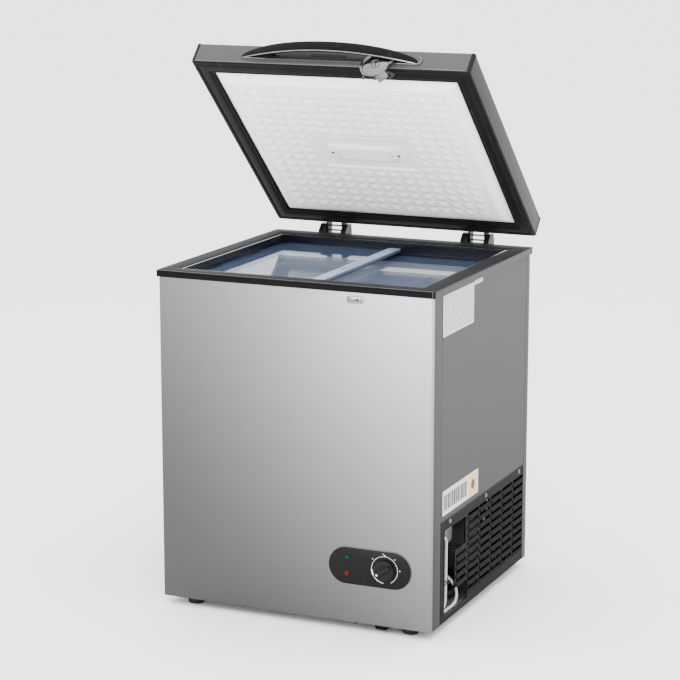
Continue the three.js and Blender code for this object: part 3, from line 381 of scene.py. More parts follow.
def glass_material():
    """Sheet glass: nearly clear when looked through, a strong mirror at a low angle."""
    material = surface("sheet_glass", (0.060, 0.095, 0.17), 0.03, tone=0.02, patch=3.0, grain=120.0,
                       bump=0.01, rough_range=0.012, shine=1.0, sockets={"IOR": 1.52})
    fresnel = add_node(material, "ShaderNodeFresnel", {"IOR": 1.7})
    strength = spread(material, fresnel.outputs["Fac"], 0.04, 0.60, 0.10, 0.60)
    material.node_tree.links.new(strength, material.node_tree.nodes["Principled BSDF"].inputs["Alpha"])
    return material


GLASS = glass_material()


def dress(material, *names, bevel=0.0):
    """A CAD node keeps its mesh and gets a finish and eased edges."""
    for name in names:
        node = frame["nodes"][name]
        node.data.materials.clear()
        node.data.materials.append(material)
        weld = node.modifiers.new("weld", "WELD")
        weld.merge_threshold = 5e-6
        if bevel:
            ease(node, bevel, 40)
        weighted = node.modifiers.new("normals", "WEIGHTED_NORMAL")
        weighted.keep_sharp = False


# ---- the mains lead ----

LEAD_RADIUS = 3.25
BAY_FLOOR_Z = 32.5
RELIEF = (281.0, -150.0)
PLUG = (277.0, -133.0, BAY_FLOOR_Z + 12.3)
LEAD_EXIT = (RELIEF[0], RELIEF[1], 143.2)


def curve_through(points, steps=8):
    """A smooth line through points, with even speed between close and distant ones."""
    line = [Vector(p) for p in points]
    ends = [line[0] * 2 - line[1]] + line + [line[-1] * 2 - line[-2]]
    made = []
    for a, b, c, d in zip(ends, ends[1:], ends[2:], ends[3:]):
        t = [0.0]
        for p, q in ((a, b), (b, c), (c, d)):
            t.append(t[-1] + max(1e-4, (q - p).length) ** 0.5)
        for i in range(steps):
            u = t[1] + (t[2] - t[1]) * i / steps

            def between(p, q, t0, t1):
                return p * ((t1 - u) / (t1 - t0)) + q * ((u - t0) / (t1 - t0))
            ab, bc, cd = between(a, b, t[0], t[1]), between(b, c, t[1], t[2]), between(c, d, t[2], t[3])
            made.append(between(between(ab, bc, t[0], t[2]), between(bc, cd, t[1], t[3]), t[1], t[2]))
    made.append(line[-1])
    return [tuple(p) for p in made]


def hank_turns(total, x0, x1):
    """Long turns stood on end side by side: along the floor, up the front, over, and down the rear."""
    middle_y, bend, run, low = -202.0, 20.8, 122.0, 36.6
    loop = [(middle_y, low)] + arc(middle_y, low + bend, bend, 270, 180, 7)[1:]
    loop += [(middle_y - bend, low + bend + run * i / 6) for i in range(1, 6)]
    loop += arc(middle_y, low + bend + run, bend, 180, 0, 12)
    loop += [(middle_y + bend, low + bend + run * (6 - i) / 6) for i in range(1, 6)]
    loop += arc(middle_y, low + bend, bend, 0, -80, 6)
    points = []
    for k in range(total):
        y, z = loop[k % len(loop)]
        wobble = sin(k * 0.37) * 0.1
        points.append((x0 + (x1 - x0) * k / (total - 1) + wobble * 0.4, y + wobble, z))
    return points


OUT = [
    LEAD_EXIT, (281, -150, 136), (281, -150, 128), (283, -147.5, 114), (290, -139, 97), (299, -128, 81),
    (306, -123, 66), (310, -126.5, 52), (311, -137, 41), (311, -152, 36.45), (311, -168, 36.45),
    (311, -182, 36.5),
]
BACK = [
    (282.5, -181.2, 70), (281.5, -179.6, 60), (280, -175, 51.6), (278.6, -166.5, 46), (277.6, -156.6, 44),
    (277, -146, 44.4), (PLUG[0], -138, PLUG[2]), (PLUG[0], -133.5, PLUG[2]),
]
WOUND = hank_turns(145, 311.0, 283.0)
LEAD = curve_through(OUT, 4)[:-1] + WOUND + curve_through(BACK, 4)


def add_relief():
    relief = Shape()
    top, low = 171.5, 143.4
    profile = [(0, top), (8, top), (8, top - 4)]
    for i in range(7):
        z = top - 6 - i * 3.1
        r = 7.4 - i * 0.42
        profile += [(r - 0.9, z + 0.9), (r, z + 0.3), (r, z - 0.9), (r - 0.9, z - 1.4)]
    profile += [(4.1, low + 0.6), (3.9, low), (0, low)]
    relief.lathe(profile, (*RELIEF, 0), "Z", 28)
    make("cord_relief_sleeve", relief, "cabinet", CORD, replaces=("cord_strain_relief",))


def add_plug():
    x, y, z = PLUG
    body = Shape()
    rings = []
    sections = [
        (0.4, 4.5, 4.5, 4.4), (6, 5.6, 5.4, 5.3), (12, 7.2, 6.6, 6.5), (18, 9.2, 7.8, 7.6),
        (26, 12.4, 9.6, 8.0), (34, 15.8, 11.2, 8.4), (42, 17.0, 12.0, 8.0), (50, 16.4, 11.8, 8.0),
        (57, 16.6, 12.0, 8.0), (60.8, 16.2, 11.6, 7.6), (62, 15.2, 10.6, 6.8),
    ]
    for along, half_x, half_z, corner in sections:
        rings.append([(p[0], y + along, p[1]) for p in rounded(
            x - half_x, x + half_x, z - half_z, z + half_z, min(corner, half_x, half_z) - 0.05, 5)])
    body.loft(rings)
    for k in range(4):
        along = y + 8 + 4.2 * k
        body.lathe([(5.2 + k * 0.9, -0.9), (6.6 + k, -0.5), (6.6 + k, 0.5), (5.2 + k * 0.9, 0.9)],
                   (x, along, z), "Y", 24)
    for side in (-1, 1):
        for k in range(4):
            rib_x, rib_y = x + side * 15.6, y + 40 + k * 4
            body.box(rib_x - 1.2, rib_x + 1.2, rib_y, rib_y + 1.8, z - 7, z + 7)
    plug = make("lead_plug", body, "cabinet", BLACK, replaces=("mains_plug",), bevel=0.4)
    pins = Shape()
    for px in (x - 6.35, x + 6.35):
        pins.box(px - 0.75, px + 0.75, y + 61, y + 79, z - 6, z + 0.4)
    pins.lathe([(2.4, 61), (2.4, 78), (1.6, 80.6), (0, 81)], (x, y, z + 6.5), "Y", 20)
    blades = make("lead_plug_pins", pins, "cabinet", SATIN_CHROME, bevel=0.3)
    return plug, blades


def add_tie():
    tie = Shape()
    x0, x1 = 279.7, 314.7
    for y0, y1 in ((-225.6, -217.4), (-186.6, -178.4)):
        outline = rounded(x0, x1, y0, y1, 3.4, 5)
        loop = [(px, py, 98.0 + 1.5 * sin(i * 0.5)) for i, (px, py) in enumerate(outline)]
        tie.tube(loop, 1.1, 8, loop=True)
        tie.tube(loop[::-1], 0.7, 6, loop=True)
    waist = [(x1 + 0.4, -221 + 6.5 * i, 99 + 1.2 * sin(i)) for i in range(7)]
    tie.tube(waist, 1.2, 8)
    tie.tube([(x0 - 0.4, -221 + 6.5 * i, 97 + 1.2 * cos(i)) for i in range(7)], 1.2, 8)
    tie.tube(curve_through([(x1 + 1, -205, 99), (x1 + 2.4, -203, 103), (x1 + 2.0, -199, 108),
                            (x1 + 1.2, -196, 112)], 4), 1.0, 8)
    return make("lead_tie", tie, "cabinet", FOOT)


def add_cord():
    data = bpy.data.curves.new("mains_lead", "CURVE")
    data.dimensions = "3D"
    data.bevel_depth = LEAD_RADIUS * MM
    data.bevel_resolution = 4
    data.use_fill_caps = True
    spline = data.splines.new("POLY")
    spline.points.add(len(LEAD) - 1)
    for knot, p in zip(spline.points, LEAD):
        knot.co = (*(CABINET @ Vector(p)), 1)
    spline.use_smooth = True
    data.materials.append(CORD)
    lead = in_scene("mains_lead", data)
    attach(lead, "cabinet")
    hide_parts("mains_cord", "cord_hank", "mains_cord_tail")

    add_relief()
    fittings = [*add_plug(), add_tie()]


# ---- camera, light and floor ----

def add_camera():
    data = bpy.data.cameras.new("camera")
    data.sensor_width = 36.0
    data.lens = 120.2
    data.clip_end = 100.0
    camera = in_scene("camera", data)
    camera.location = (1.9948, -4.5707, 1.6192)
    camera.rotation_euler = (radians(90 - 11.93), 0, radians(23.9))
    bpy.context.scene.camera = camera


def add_area_light(name, place, target, size, power):
    data = bpy.data.lights.new(name, "AREA")
    data.shape = "SQUARE"
    data.size = size
    data.energy = power
    light = in_scene(name, data)
    light.location = place
    light.rotation_euler = (Vector(target) - Vector(place)).to_track_quat("-Z", "Y").to_euler()


def add_studio():
    mesh = bpy.data.meshes.new("studio_floor")
    mesh.from_pydata([(-30, -30, 0), (30, -30, 0), (30, 30, 0), (-30, 30, 0)], [], [(0, 1, 2, 3)])
    mesh.materials.append(surface("studio_floor_paint", (0.92, 0.92, 0.92), 0.8, tone=0.004, patch=0.4,
                                  grain=40.0, bump=0.02))
    in_scene("studio_floor", mesh)
    world = bpy.data.worlds.new("studio")
    world.use_nodes = True
    sky = world.node_tree.nodes["Background"].inputs
    sky["Color"].default_value = (1, 1, 1, 1)
    sky["Strength"].default_value = 3.2
    bpy.context.scene.world = world
    add_area_light("key", (1.6, -3.4, 3.6), (0, 0, 0.7), 2.0, 140)
    add_area_light("near_front", (0.9, -2.4, 1.9), (0.25, -0.30, 0.70), 0.7, 14)
    add_area_light("low_front", (-0.6, -3.4, 0.35), (0, 0.1, 1.0), 1.2, 40)
    add_area_light("top", (0, 0.6, 4.2), (0, 0, 0.6), 3.0, 60)


# ---- cabinet ----

def wrapped_outline(face_y, wrap, radius=5.0, sheet=1.2):
    inward = 1 if face_y < 0 else -1
    edge, half = face_y + inward * wrap, HALF_WIDTH
    outer, inner = [(-half, edge)], [(-half + sheet, edge)]
    for side in (-1, 1):
        cx, cy = side * (half - radius), face_y + inward * radius
        turn = [radians(90 * i / 6) for i in range(7)]
        bend = [(side * cos(t), -inward * sin(t)) for t in turn]
        if side > 0:
            bend.reverse()
        outer += [(cx + radius * a, cy + radius * b) for a, b in bend]
        inner += [(cx + (radius - sheet) * a, cy + (radius - sheet) * b) for a, b in bend]
    outer.append((half, edge))
    inner.append((half - sheet, edge))
    return outer + inner[::-1]


def add_casing():
    front = Shape().prism(wrapped_outline(FRONT_Y, 49), "Z", SHEET_LOW, SHEET_TOP)
    for k, face in enumerate(front.faces):
        across = [front.verts[i][0] for i in face]
        if min(abs(x) for x in across) > 318.7 and max(across) - min(across) < 0.1:
            front.tags[k] = 1
    make("front_sheet", front, "cabinet", [BRUSHED, SIDE], replaces=("front_panel",), angle=50)
    rear = Shape().prism(wrapped_outline(REAR_Y, 28), "Z", SHEET_LOW, SHEET_TOP)
    make("rear_sheet", rear, "cabinet", SIDE, replaces=("rear_panel",), angle=50)
    dress(SIDE, "left_side_panel", "right_side_panel", bevel=0.4)
    dress(GRILLE, "bottom_pan", bevel=0.6)

    seams = Shape()
    for y in (-250.85, 271.85):
        for x in (-319.2, 319.2):
            seams.box(x - 0.5, x + 0.55, y - 0.5, y + 0.5, 21, 739)
    make("panel_seam_fillers", seams, "cabinet", RUBBER)

    for name in ("front_left_foot", "front_right_foot", "rear_left_foot", "rear_right_foot"):
        low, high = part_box(name)
        x, y = (low.x + high.x) * 500, (low.y + high.y) * 500 - SHIFT * 1000
        foot = Shape()
        profile = [(0, 0), (13.5, 0), (16, 0.8), (17.6, 2.6), (18, 4.4), (18, 6), (17.2, 6.5), (17.2, 7.4),
                   (18, 8), (18, 11.4), (17, 13.4), (14.6, 14.6), (14, 15.4), (14, 19.4), (13.4, 19.7),
                   (0, 19.7)]
        foot.lathe(profile, (x, y, 0), "Z", 40)
        make(name + "_pad", foot, "cabinet", FOOT, replaces=(name,))


def frame_plate(x0, x1, y0, y1, hole, z0, z1):
    """A flat ring on the level, with a rectangular hole."""
    hx0, hx1, hy0, hy1 = hole
    rings = []
    for z, e in ((z0, 0.0), (z1 - 1.6, 0.0), (z1 - 0.6, 0.5), (z1, 1.6)):
        rings.append(level_ring(x0 + e, x1 - e, y0 + e, y1 - e, 4.0, z))
    for z, e in ((z1, 1.2), (z1 - 0.5, 0.4), (z1 - 1.4, 0.0), (z0, 0.0)):
        rings.append(level_ring(hx0 - e, hx1 + e, hy0 - e, hy1 + e, 2.0 + e, z))
    return Shape().loft(rings, loop=True)


def add_collar():
    collar = frame_plate(-324, 324, -304, 304, (-284, 284, -268, 246), 740, RIM)
    for k, face in enumerate(collar.faces):
        if min(collar.verts[i][0] for i in face) > 323.5:
            collar.tags[k] = 1
    make("collar_moulding", collar, "cabinet", [COLLAR, SIDE], replaces=("rim_collar",))
    band = Shape()
    for x0, x1, edge in ((-322.5, 317.5, 0.7), (320.6, 323.8, 0.5)):
        pillow(band, square_in(x0, x1, 741.0, 753.4), "Y", -303.6, -304.9, edge)
    make("collar_front_band", band, "cabinet", GRIP)
    lip = Shape()
    lip.rod((-322, -303.4, 754.6), (322, -303.4, 754.6), 0.6, 8)
    lip.rod((319.0, -304.4, 741.2), (319.0, -304.4, 753.4), 0.8, 8)
    make("collar_bright_lip", lip, "cabinet", SATIN_CHROME)
    seam = Shape()
    seam.rod((323.5, -302, 754.4), (323.5, 302, 754.4), 0.9, 8)
    make("collar_side_seam", seam, "cabinet", BLACK)

    dress(TRACK, "glass_track_frame", bevel=0.6)
    ribs = Shape()
    corners = ((-277.6, -261.4), (277.6, -261.4), (277.6, 240.4), (-277.6, 240.4))
    for z in (743.0, 746.4, 749.8):
        ribs.tube([(x, y, z) for x, y in corners], 0.7, 6, loop=True)
    make("track_ribs", ribs, "cabinet", TRACK)


def add_tub():
    dress(LINER, "inner_liner", bevel=5.0)
    dress(FOAM, "cabinet_foam", bevel=0.5)
    dress(FOOT, "drain_plug", bevel=0.5)


def add_covers():
    dress(GLASS, "left_glass_pane", "right_glass_pane", bevel=0.8)
    dress(RAIL, "left_pane_rail", "right_pane_rail", bevel=0.7)
    lines = Shape()
    for x in (-2.6, 3.4, 8.6, 15.4, 21.8):
        lines.rod((x, -260.4, 739.7), (x, 239.4, 739.7), 0.75, 8)
    make("left_rail_ridges", lines, "left_cover", RAIL_PAINTED_HIGHLIGHT)
    lines = Shape()
    for x in (-22.0, -15.0, -8.0):
        lines.rod((x, -254.4, 727.2), (x, 234.4, 727.2), 0.75, 8)
    make("right_rail_ridges", lines, "right_cover", RAIL_PAINTED_HIGHLIGHT)
    grips = Shape()
    for k in range(7):
        y = -48 + k * 12
        grips.tube([(9.0, y, 741.2), (11, y, 741.6), (13.0, y, 741.2)], 0.5, 6)
    make("left_cover_grip_ribs", grips, "left_cover", RAIL_PAINTED_HIGHLIGHT)
    seals = Shape()
    seals.rod((-276.2, -262, 732.5), (-276.2, 238, 732.5), 1.1, 8)
    seals.rod((24.0, -262, 732.5), (24.0, 238, 732.5), 1.0, 8)
    make("left_cover_edge_seal", seals, "left_cover", TRACK)
    seals = Shape()
    seals.rod((271.2, -256, 722.4), (271.2, 233, 722.4), 1.1, 8)
    make("right_cover_edge_seal", seals, "right_cover", TRACK)


def add_basket():
    low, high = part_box("wire_basket")
    left, right = low.x * 1000, high.x * 1000
    top, bottom = 692.6, 502.6
    front, rear = -236.0, 218.0

    wires = Shape()
    for z, inset, radius, sides in ((top, 2.6, 2.6, 8), (top - 12, 2.8, 1.5, 6), (640, 2.8, 1.5, 6),
                                    (575, 2.8, 1.5, 6), (bottom + 1.4, 3.0, 2.2, 8)):
        taper = (top - z) / (top - bottom)
        dx, dy = 12 * taper + inset, 10 * taper + inset
        ring = level_ring(left + dx, right - dx, front + dy, rear - dy, 16, z, 5)
        wires.tube(ring, radius, sides, loop=True)

    def hoop(start, end, slant):
        low_start, low_end = start + slant, end - slant
        return [(start, top), (low_start, bottom + 10), (low_start + 4, bottom + 2.6),
                (low_end - 4, bottom + 2.6), (low_end, bottom + 10), (end, top)]
    for k in range(1, 24):
        y = front + (rear - front) * k / 24
        wires.tube([(x, y, z) for x, z in hoop(left + 4, right - 4, 11)], 1.25, 6)
    for k in range(1, 11):
        x = left + 6 + (right - left - 12) * k / 11
        wires.tube([(x, y, z) for y, z in hoop(front + 4, rear - 4, 9)], 1.25, 6)
    for y0, out in ((front + 2, -1), (rear - 2, 1)):
        wires.tube(curve_through([(left + 14, y0, 693.4), (left + 15, y0 + out * 9, 693.4),
                                  (left + 22, y0 + out * 12, 693.0), (right - 22, y0 + out * 12, 693.0),
                                  (right - 15, y0 + out * 9, 693.4), (right - 14, y0, 693.4)], 5), 2.2, 8)
    make("basket_wires", wires, "basket", WIRE, replaces=("wire_basket",))


# ---- controls and strike ----

CONTROL = (84.0, 274.0, 105.5, 186.5)
KNOB = (214.0, 146.5)
PLATE_Y = -304.0
LIGHTS_X, RUN_Z, POWER_Z = 128.0, 165.0, 130.0


def add_controls():
    x0, x1, z0, z1 = CONTROL
    plate = Shape()
    pillow(plate, drawn_in(x0, x1, z0, z1, 40.4, 16), "Y", -300.3, PLATE_Y, 1.4)
    make("control_plate", plate, "cabinet", GLOSS_BLACK, replaces=("control_panel",), angle=30)
    border = Shape()
    border.tube([(x, PLATE_Y + 2.6, z) for x, z in rounded(x0 - 0.2, x1 + 0.2, z0 - 0.2, z1 + 0.2, 40.6, 16)],
                0.6, 6, loop=True)
    make("control_border", border, "cabinet", PALE_INK)

    for name, z, finish in (("run_light", RUN_Z, GREEN_LENS), ("power_light", POWER_Z, RED_LENS)):
        dome = Shape()
        profile = [(0, PLATE_Y), (5.3, PLATE_Y), (5.3, PLATE_Y - 1.2)]
        turns = (0.25, 0.55, 0.85, 1.15, 1.4)
        profile += [(5.2 * cos(t), PLATE_Y - 1.2 - 2.5 * sin(t)) for t in turns]
        profile.append((0, PLATE_Y - 3.8))
        dome.lathe(profile, (LIGHTS_X, 0, z), "Y", 28)
        make(name, dome, "cabinet", finish, replaces=(name + "_lens",))
    bezels = Shape()
    section = [(5.4, -303.9), (7.0, -303.9), (6.9, -304.7), (6.2, -305.0), (5.5, -304.8)]
    for z in (RUN_Z, POWER_Z):
        bezels.lathe(section, (LIGHTS_X, 0, z), "Y", 28, loop=True)
    make("light_bezels", bezels, "cabinet", BLACK)


def add_dial():
    kx, kz = KNOB
    scale = Shape()

    def band(radius, start, end, width_start, width_end, steps):
        outer, inner = [], []
        for t in (i / steps for i in range(steps + 1)):
            angle = radians(start + (end - start) * t)
            half = (width_start + (width_end - width_start) * t) / 2
            for edge, r in ((outer, radius + half), (inner, radius - half)):
                edge.append((kx + r * cos(angle), kz + r * sin(angle)))
        front = [(x, PLATE_Y - 0.16, z) for x, z in outer + inner[::-1]]
        back = [(x, PLATE_Y + 0.1, z) for x, z in outer + inner[::-1]]
        total = len(front)
        faces = [(i, i + 1, total - 2 - i, total - 1 - i) for i in range(steps)]
        rim = [(i, (i + 1) % total, total + (i + 1) % total, total + i) for i in range(total)]
        scale.add(front + back, faces + rim)
    band(30.0, 180, -62, 0.7, 0.7, 44)
    band(29.4, 182, 266, 3.4, 0.9, 18)
    band(31.8, 92.6, 87.4, 3.2, 3.2, 2)
    for angle in (141, 96, 48, 4):
        a = radians(angle)
        scale.lathe([(0, PLATE_Y - 0.2), (1.15, PLATE_Y - 0.2), (1.15, PLATE_Y + 0.1), (0, PLATE_Y + 0.1)],
                    (kx + 35 * cos(a), 0, kz + 35 * sin(a)), "Y", 14)
    make("dial_scale", scale, "cabinet", PRINT_AND_HIGHLIGHT_WHITE)

    knob = Shape()
    knob.lathe([(0, -304.4), (22.4, -304.4), (23.3, -305.2), (23.4, -307.6), (22.6, -311.0), (21.2, -312.6),
                (19.4, -313.2), (12, -312.6), (0, -312.4)], (kx, 0, kz), "Y", 64)
    tilt = radians(34)

    def bar(inset):
        corners = rounded(-21 + inset, 21 - inset, -4.8 + inset, 4.8 - inset, 4.2 - inset * 0.7, 6)
        return [(kx + px * cos(tilt) - pz * sin(tilt),
                 kz + px * sin(tilt) + pz * cos(tilt)) for px, pz in corners]
    pillow(knob, bar, "Y", -311, -322.0, 1.6)
    for k in range(40):
        a = 2 * pi * k / 40
        path = [(23.2, -305.4), (23.2, -307.8), (22.5, -310.8)]
        knob.tube([(kx + r * cos(a), y, kz + r * sin(a)) for r, y in path], 0.45, 5)
    make("dial_knob", knob, "knob", BLACK, replaces=("thermostat_knob",), angle=40)
    # Painted highlight: a white dot on the knob's bar where a highlight falls.
    mark = Shape()
    a = radians(214)
    mark.lathe([(0, -322.4), (2.3, -322.4), (2.6, -321.6), (2.6, -321)],
               (kx + 13.5 * cos(a), 0, kz + 13.5 * sin(a)), "Y", 20)
    make("dial_knob_painted_highlight", mark, "knob", PRINT_AND_HIGHLIGHT_WHITE)
    dress(ZINC, "thermostat_body", bevel=0.6)


def add_strike():
    x, z = 144.0, 724.0
    plate = Shape()
    pillow(plate, drawn_in(x - 19, x + 19, z - 7.5, z + 7.5, 5, 6), "Y", -300.3, -301.7, 0.6)
    for side in (-1, 1):
        plate.screw((x + side * 13.2, -301.5, z), "Y", -1, 3.7)
    loop = curve_through([(x - 1.2, -301, z), (x - 1.2, -306, z), (x - 0.8, -310, z), (x + 0.8, -310, z),
                          (x + 1.2, -306, z), (x + 1.2, -301, z)], 5)
    plate.tube(loop, 1.3, 8)
    make("strike", plate, "cabinet", CHROME, replaces=("strike_plate",))
    # Painted shade: dark crosses on the screw heads and a dark slot on the plate stand for the shade in their
    # recesses.
    marks = Shape()
    for side in (-1, 1):
        for a, b in ((2.4, 0.45), (0.45, 2.4)):
            marks.box(x + side * 13.2 - a, x + side * 13.2 + a, -303.45, -303.2, z - b, z + b)
    marks.prism(rounded(x + 3.0, x + 8.4, z - 3.2, z + 3.2, 1.5, 4), "Y", -301.85, -301.5)
    make("strike_recesses", marks, "cabinet", INK_AND_PAINTED_SHADE)


# ---- machine bay ----

def add_grille():
    dress(GRILLE, "compressor_grille", bevel=0.5)
    slats = Shape()
    for row in range(10):
        top = 226 - 18.6 * row - 7.0
        low = top - 9.6
        cells = [(-86 + 72.5 * column, -20 + 72.5 * column) for column in range(5)]
        if 90 < top + 7 < 160:
            cells.append((-157, -97))
        if row == 9:
            low = top - 6
        for y0, y1 in cells:
            blade = [(319.6, top), (320.15, top), (321.2, top - 3.2), (322.3, low + 1.6),
                     (322.4, low + 0.6), (321.6, low), (319.6, low)]
            slats.prism(blade, "Y", y0 + 0.6, y1 - 0.6)
    make("grille_louvres", slats, "cabinet", SLAT, bevel=0.25)
    lip = Shape()
    door = [(-229, 226), (-229, 34), (-91, 34), (-91, 80), (-165, 80), (-165, 163), (-102, 163), (-102, 226)]
    lip.tube([(320.0, y, z) for y, z in door], 1.1, 8, loop=True)
    edge = [(-249.6, 246.8), (-249.6, 21.6), (270.4, 21.6), (270.4, 246.8)]
    lip.tube([(320.0, y, z) for y, z in edge], 0.8, 8, loop=True)
    make("grille_lips", lip, "cabinet", BLACK)
    screws = Shape()
    for y in (-197, 23, 242):
        screws.lathe([(0, 320), (5.2, 320), (5.0, 320.6), (3.9, 320.9)], (0, y, 239), "X", 24)
        screws.screw((320.6, y, 239), "X", 1, 3.6)
    make("grille_screws", screws, "cabinet", SATIN_CHROME)


def add_bay():
    dress(BLACK, "machine_bay_shroud", bevel=0.5)
    dress(ZINC, "compressor_base_plate", bevel=0.5)
    dress(FOOT, *("compressor_grommet_%d" % k for k in (1, 2, 3, 4)), bevel=0.8)
    dress(COPPER, "suction_line", "discharge_line", "filter_drier", "evaporator_coil", "condenser_coil")
    x, y, foot = 214.0, 88.0, 45.5
    shell = Shape()
    profile = [(0, 2), (48, 2), (56, 4), (62, 9), (66.5, 18), (67.8, 30), (67.8, 62), (70.6, 63),
               (70.6, 66.5), (67.6, 67.5), (67.0, 84), (64, 100), (57, 114), (46, 124), (32, 130),
               (16, 133.2), (0, 134)]
    shell.lathe([(r, foot + h) for r, h in profile], (x, y, 0), "Z", 64)
    pillow(shell, drawn_in(x - 82, x + 82, y - 56, y + 56, 14, 6, fixed=True), "Z", foot, foot + 3.4, 1.2)
    nut = [(0, foot + 3), (5.6, foot + 3), (5.6, foot + 6.4), (4.4, foot + 7.6), (0, foot + 7.8)]
    for dx in (-70, 70):
        for dy in (-44, 44):
            shell.lathe(nut, (x + dx, y + dy, 0), "Z", 6)
    make("compressor_shell", shell, "cabinet", ENAMEL, replaces=("compressor",))
    cover = Shape()
    rings = []
    for along, e in ((262.2, 0.6), (262.8, 0.0), (290, 0.0), (296, 1.2), (299, 3.4), (300, 6.5)):
        outline = rounded(-176 + e, -126 - e, 172 + e, 247 - e, 12 - e * 0.5, 8)
        rings.append([(along, p, q) for p, q in outline])
    cover.loft(rings)
    for z in (184, 190, 196, 202):
        cover.tube([(299.6, -166, z), (300.2, -151, z), (299.6, -136, z)], 0.9, 6)
    cover.screw((299.6, -151, 233), "X", 1, 4.2)
    make("terminal_cover", cover, "cabinet", BOX_GREY, replaces=("terminal_box",))


# ---- hinges ----

def both_ends(profile, x):
    """The profile of a pin's head at both ends of the pin, which is centred on x."""
    return [(r, x - half) for r, half in profile] + [(r, x + half) for r, half in reversed(profile)]


def add_hinges():
    dress(HINGE, "left_hinge_bracket", "right_hinge_bracket", "left_hinge_arm", "right_hinge_arm", bevel=1.1)
    for side, x in (("left", -180.0), ("right", 180.0)):
        pins = Shape()
        pin = [(0, 37.4), (4.2, 37.2), (5.2, 36.4), (5.2, 35.2), (3.5, 35.0)]
        pins.lathe(both_ends(pin, x), (0, PIVOT_Y, PIVOT_Z), "X", 28)
        guide = [(0, 36.6), (3.4, 36.4), (4.2, 35.6), (4.2, 34.9), (2.4, 34.8)]
        pins.lathe(both_ends(guide, x), (0, 318.0, 728.0), "X", 24)
        make(side + "_hinge_pins", pins, "cabinet", SATIN_CHROME, replaces=(side + "_hinge_pin",))
        spring = Shape()
        coil = []
        for k in range(121):
            a = 2 * pi * k / 20
            coil.append((x - 12.6 + 25.2 * k / 120, PIVOT_Y + 5.8 * cos(a), PIVOT_Z + 5.8 * sin(a)))
        spring.tube(coil, 1.15, 6)
        spring.tube([(x - 12.6, PIVOT_Y + 5.8, PIVOT_Z), (x - 12.6, PIVOT_Y + 3.0, PIVOT_Z - 10),
                     (x - 12.6, 322.0, 719.0)], 1.15, 6)
        make(side + "_hinge_spring", spring, "cabinet", SATIN_CHROME)
        bolts = Shape()
        for dx in (-12, 12):
            for z in (672, 700):
                head = [(0, 303.2), (5.4, 303.2), (5.4, 305.0), (4.6, 306.6), (0, 307.2)]
                bolts.lathe(head, (x + dx, 0, z), "Y", 6)
        make(side + "_hinge_bolts", bolts, "cabinet", SATIN_CHROME)
        rods = Shape()
        for y, z in ((325.6, 753.4), (318.2, 761.6)):
            rods.lathe([(0, x - 21.2), (2.3, x - 21.0), (2.3, x + 21.0), (0, x + 21.2)], (0, y, z), "X", 20)
        make(side + "_hinge_rods", rods, "lid", CHROME)


# ---- labels on the right side ----

def add_labels():
    x = HALF_WIDTH
    label = Shape()
    pillow(label, drawn_in(-247, -67, 648, 736, 3, 4, fixed=True), "X", x - 0.05, x + 0.3, 0.12)
    pillow(label, drawn_in(-64, -14, 729, 739, 2, 4, fixed=True), "X", x - 0.05, x + 0.3, 0.12)
    make("rating_label", label, "cabinet", PAPER)
    lines = Shape()
    for row in range(13):
        z = 730 - row * 6.1
        cursor = -241.0
        while cursor < -76:
            run = random.uniform(8, 34)
            end = min(cursor + run, -73)
            lines.box(x + 0.28, x + 0.36, cursor, end, z - 0.9, z + 0.9)
            cursor = end + random.uniform(4, 9)
    for y in (-243.5, -196, -152, -112, -71):
        lines.box(x + 0.28, x + 0.36, y - 0.35, y + 0.35, 652, 733)
    lines.box(x + 0.28, x + 0.36, -58, -20, 733.2, 734.6)
    make("rating_label_lines", lines, "cabinet", PALE_INK)
    seams = Shape()
    for y in (-250.4, 276.0):
        seams.box(x - 0.2, x + 0.12, y - 0.9, y + 0.9, 248.0, 739.4)
    make("side_sheet_seams", seams, "cabinet", BLACK)

    sticker = Shape()
    pillow(sticker, drawn_in(-241, -28, 260, 314, 3, 4, fixed=True), "X", x - 0.05, x + 0.35, 0.15)
    make("side_sticker", sticker, "cabinet", PAPER)
    bars = Shape()
    cursor = -233.0
    for width in (9, 7, 10, 4, 9, 11, 7, 9, 4, 10, 8, 9):
        bars.prism(rounded(cursor, cursor + width, 270, 304, 1.8, 3), "X", x + 0.3, x + 0.45)
        cursor += width + 3.4
    make("side_sticker_bars", bars, "cabinet", INK_AND_PAINTED_SHADE)
    mark = Shape()
    mark.prism(rounded(-86, -36, 265, 309, 6, 5), "X", x + 0.3, x + 0.45)
    make("side_sticker_patch", mark, "cabinet", AMBER)
    dot = Shape()
    dot.prism(arc(-61, 287, 11, 0, 345, 23), "X", x + 0.42, x + 0.55)
    make("side_sticker_dot", dot, "cabinet", INK_AND_PAINTED_SHADE)


# ---- lid ----

LID_X, LID_FRONT, LID_REAR = 326.0, -304.0, 300.0


def lid_ring(inset, z, corner=5.0, steps=6):
    return level_ring(-LID_X + inset, LID_X - inset, LID_FRONT + inset, LID_REAR - inset,
                      max(0.8, corner - inset * 0.5), z, steps)


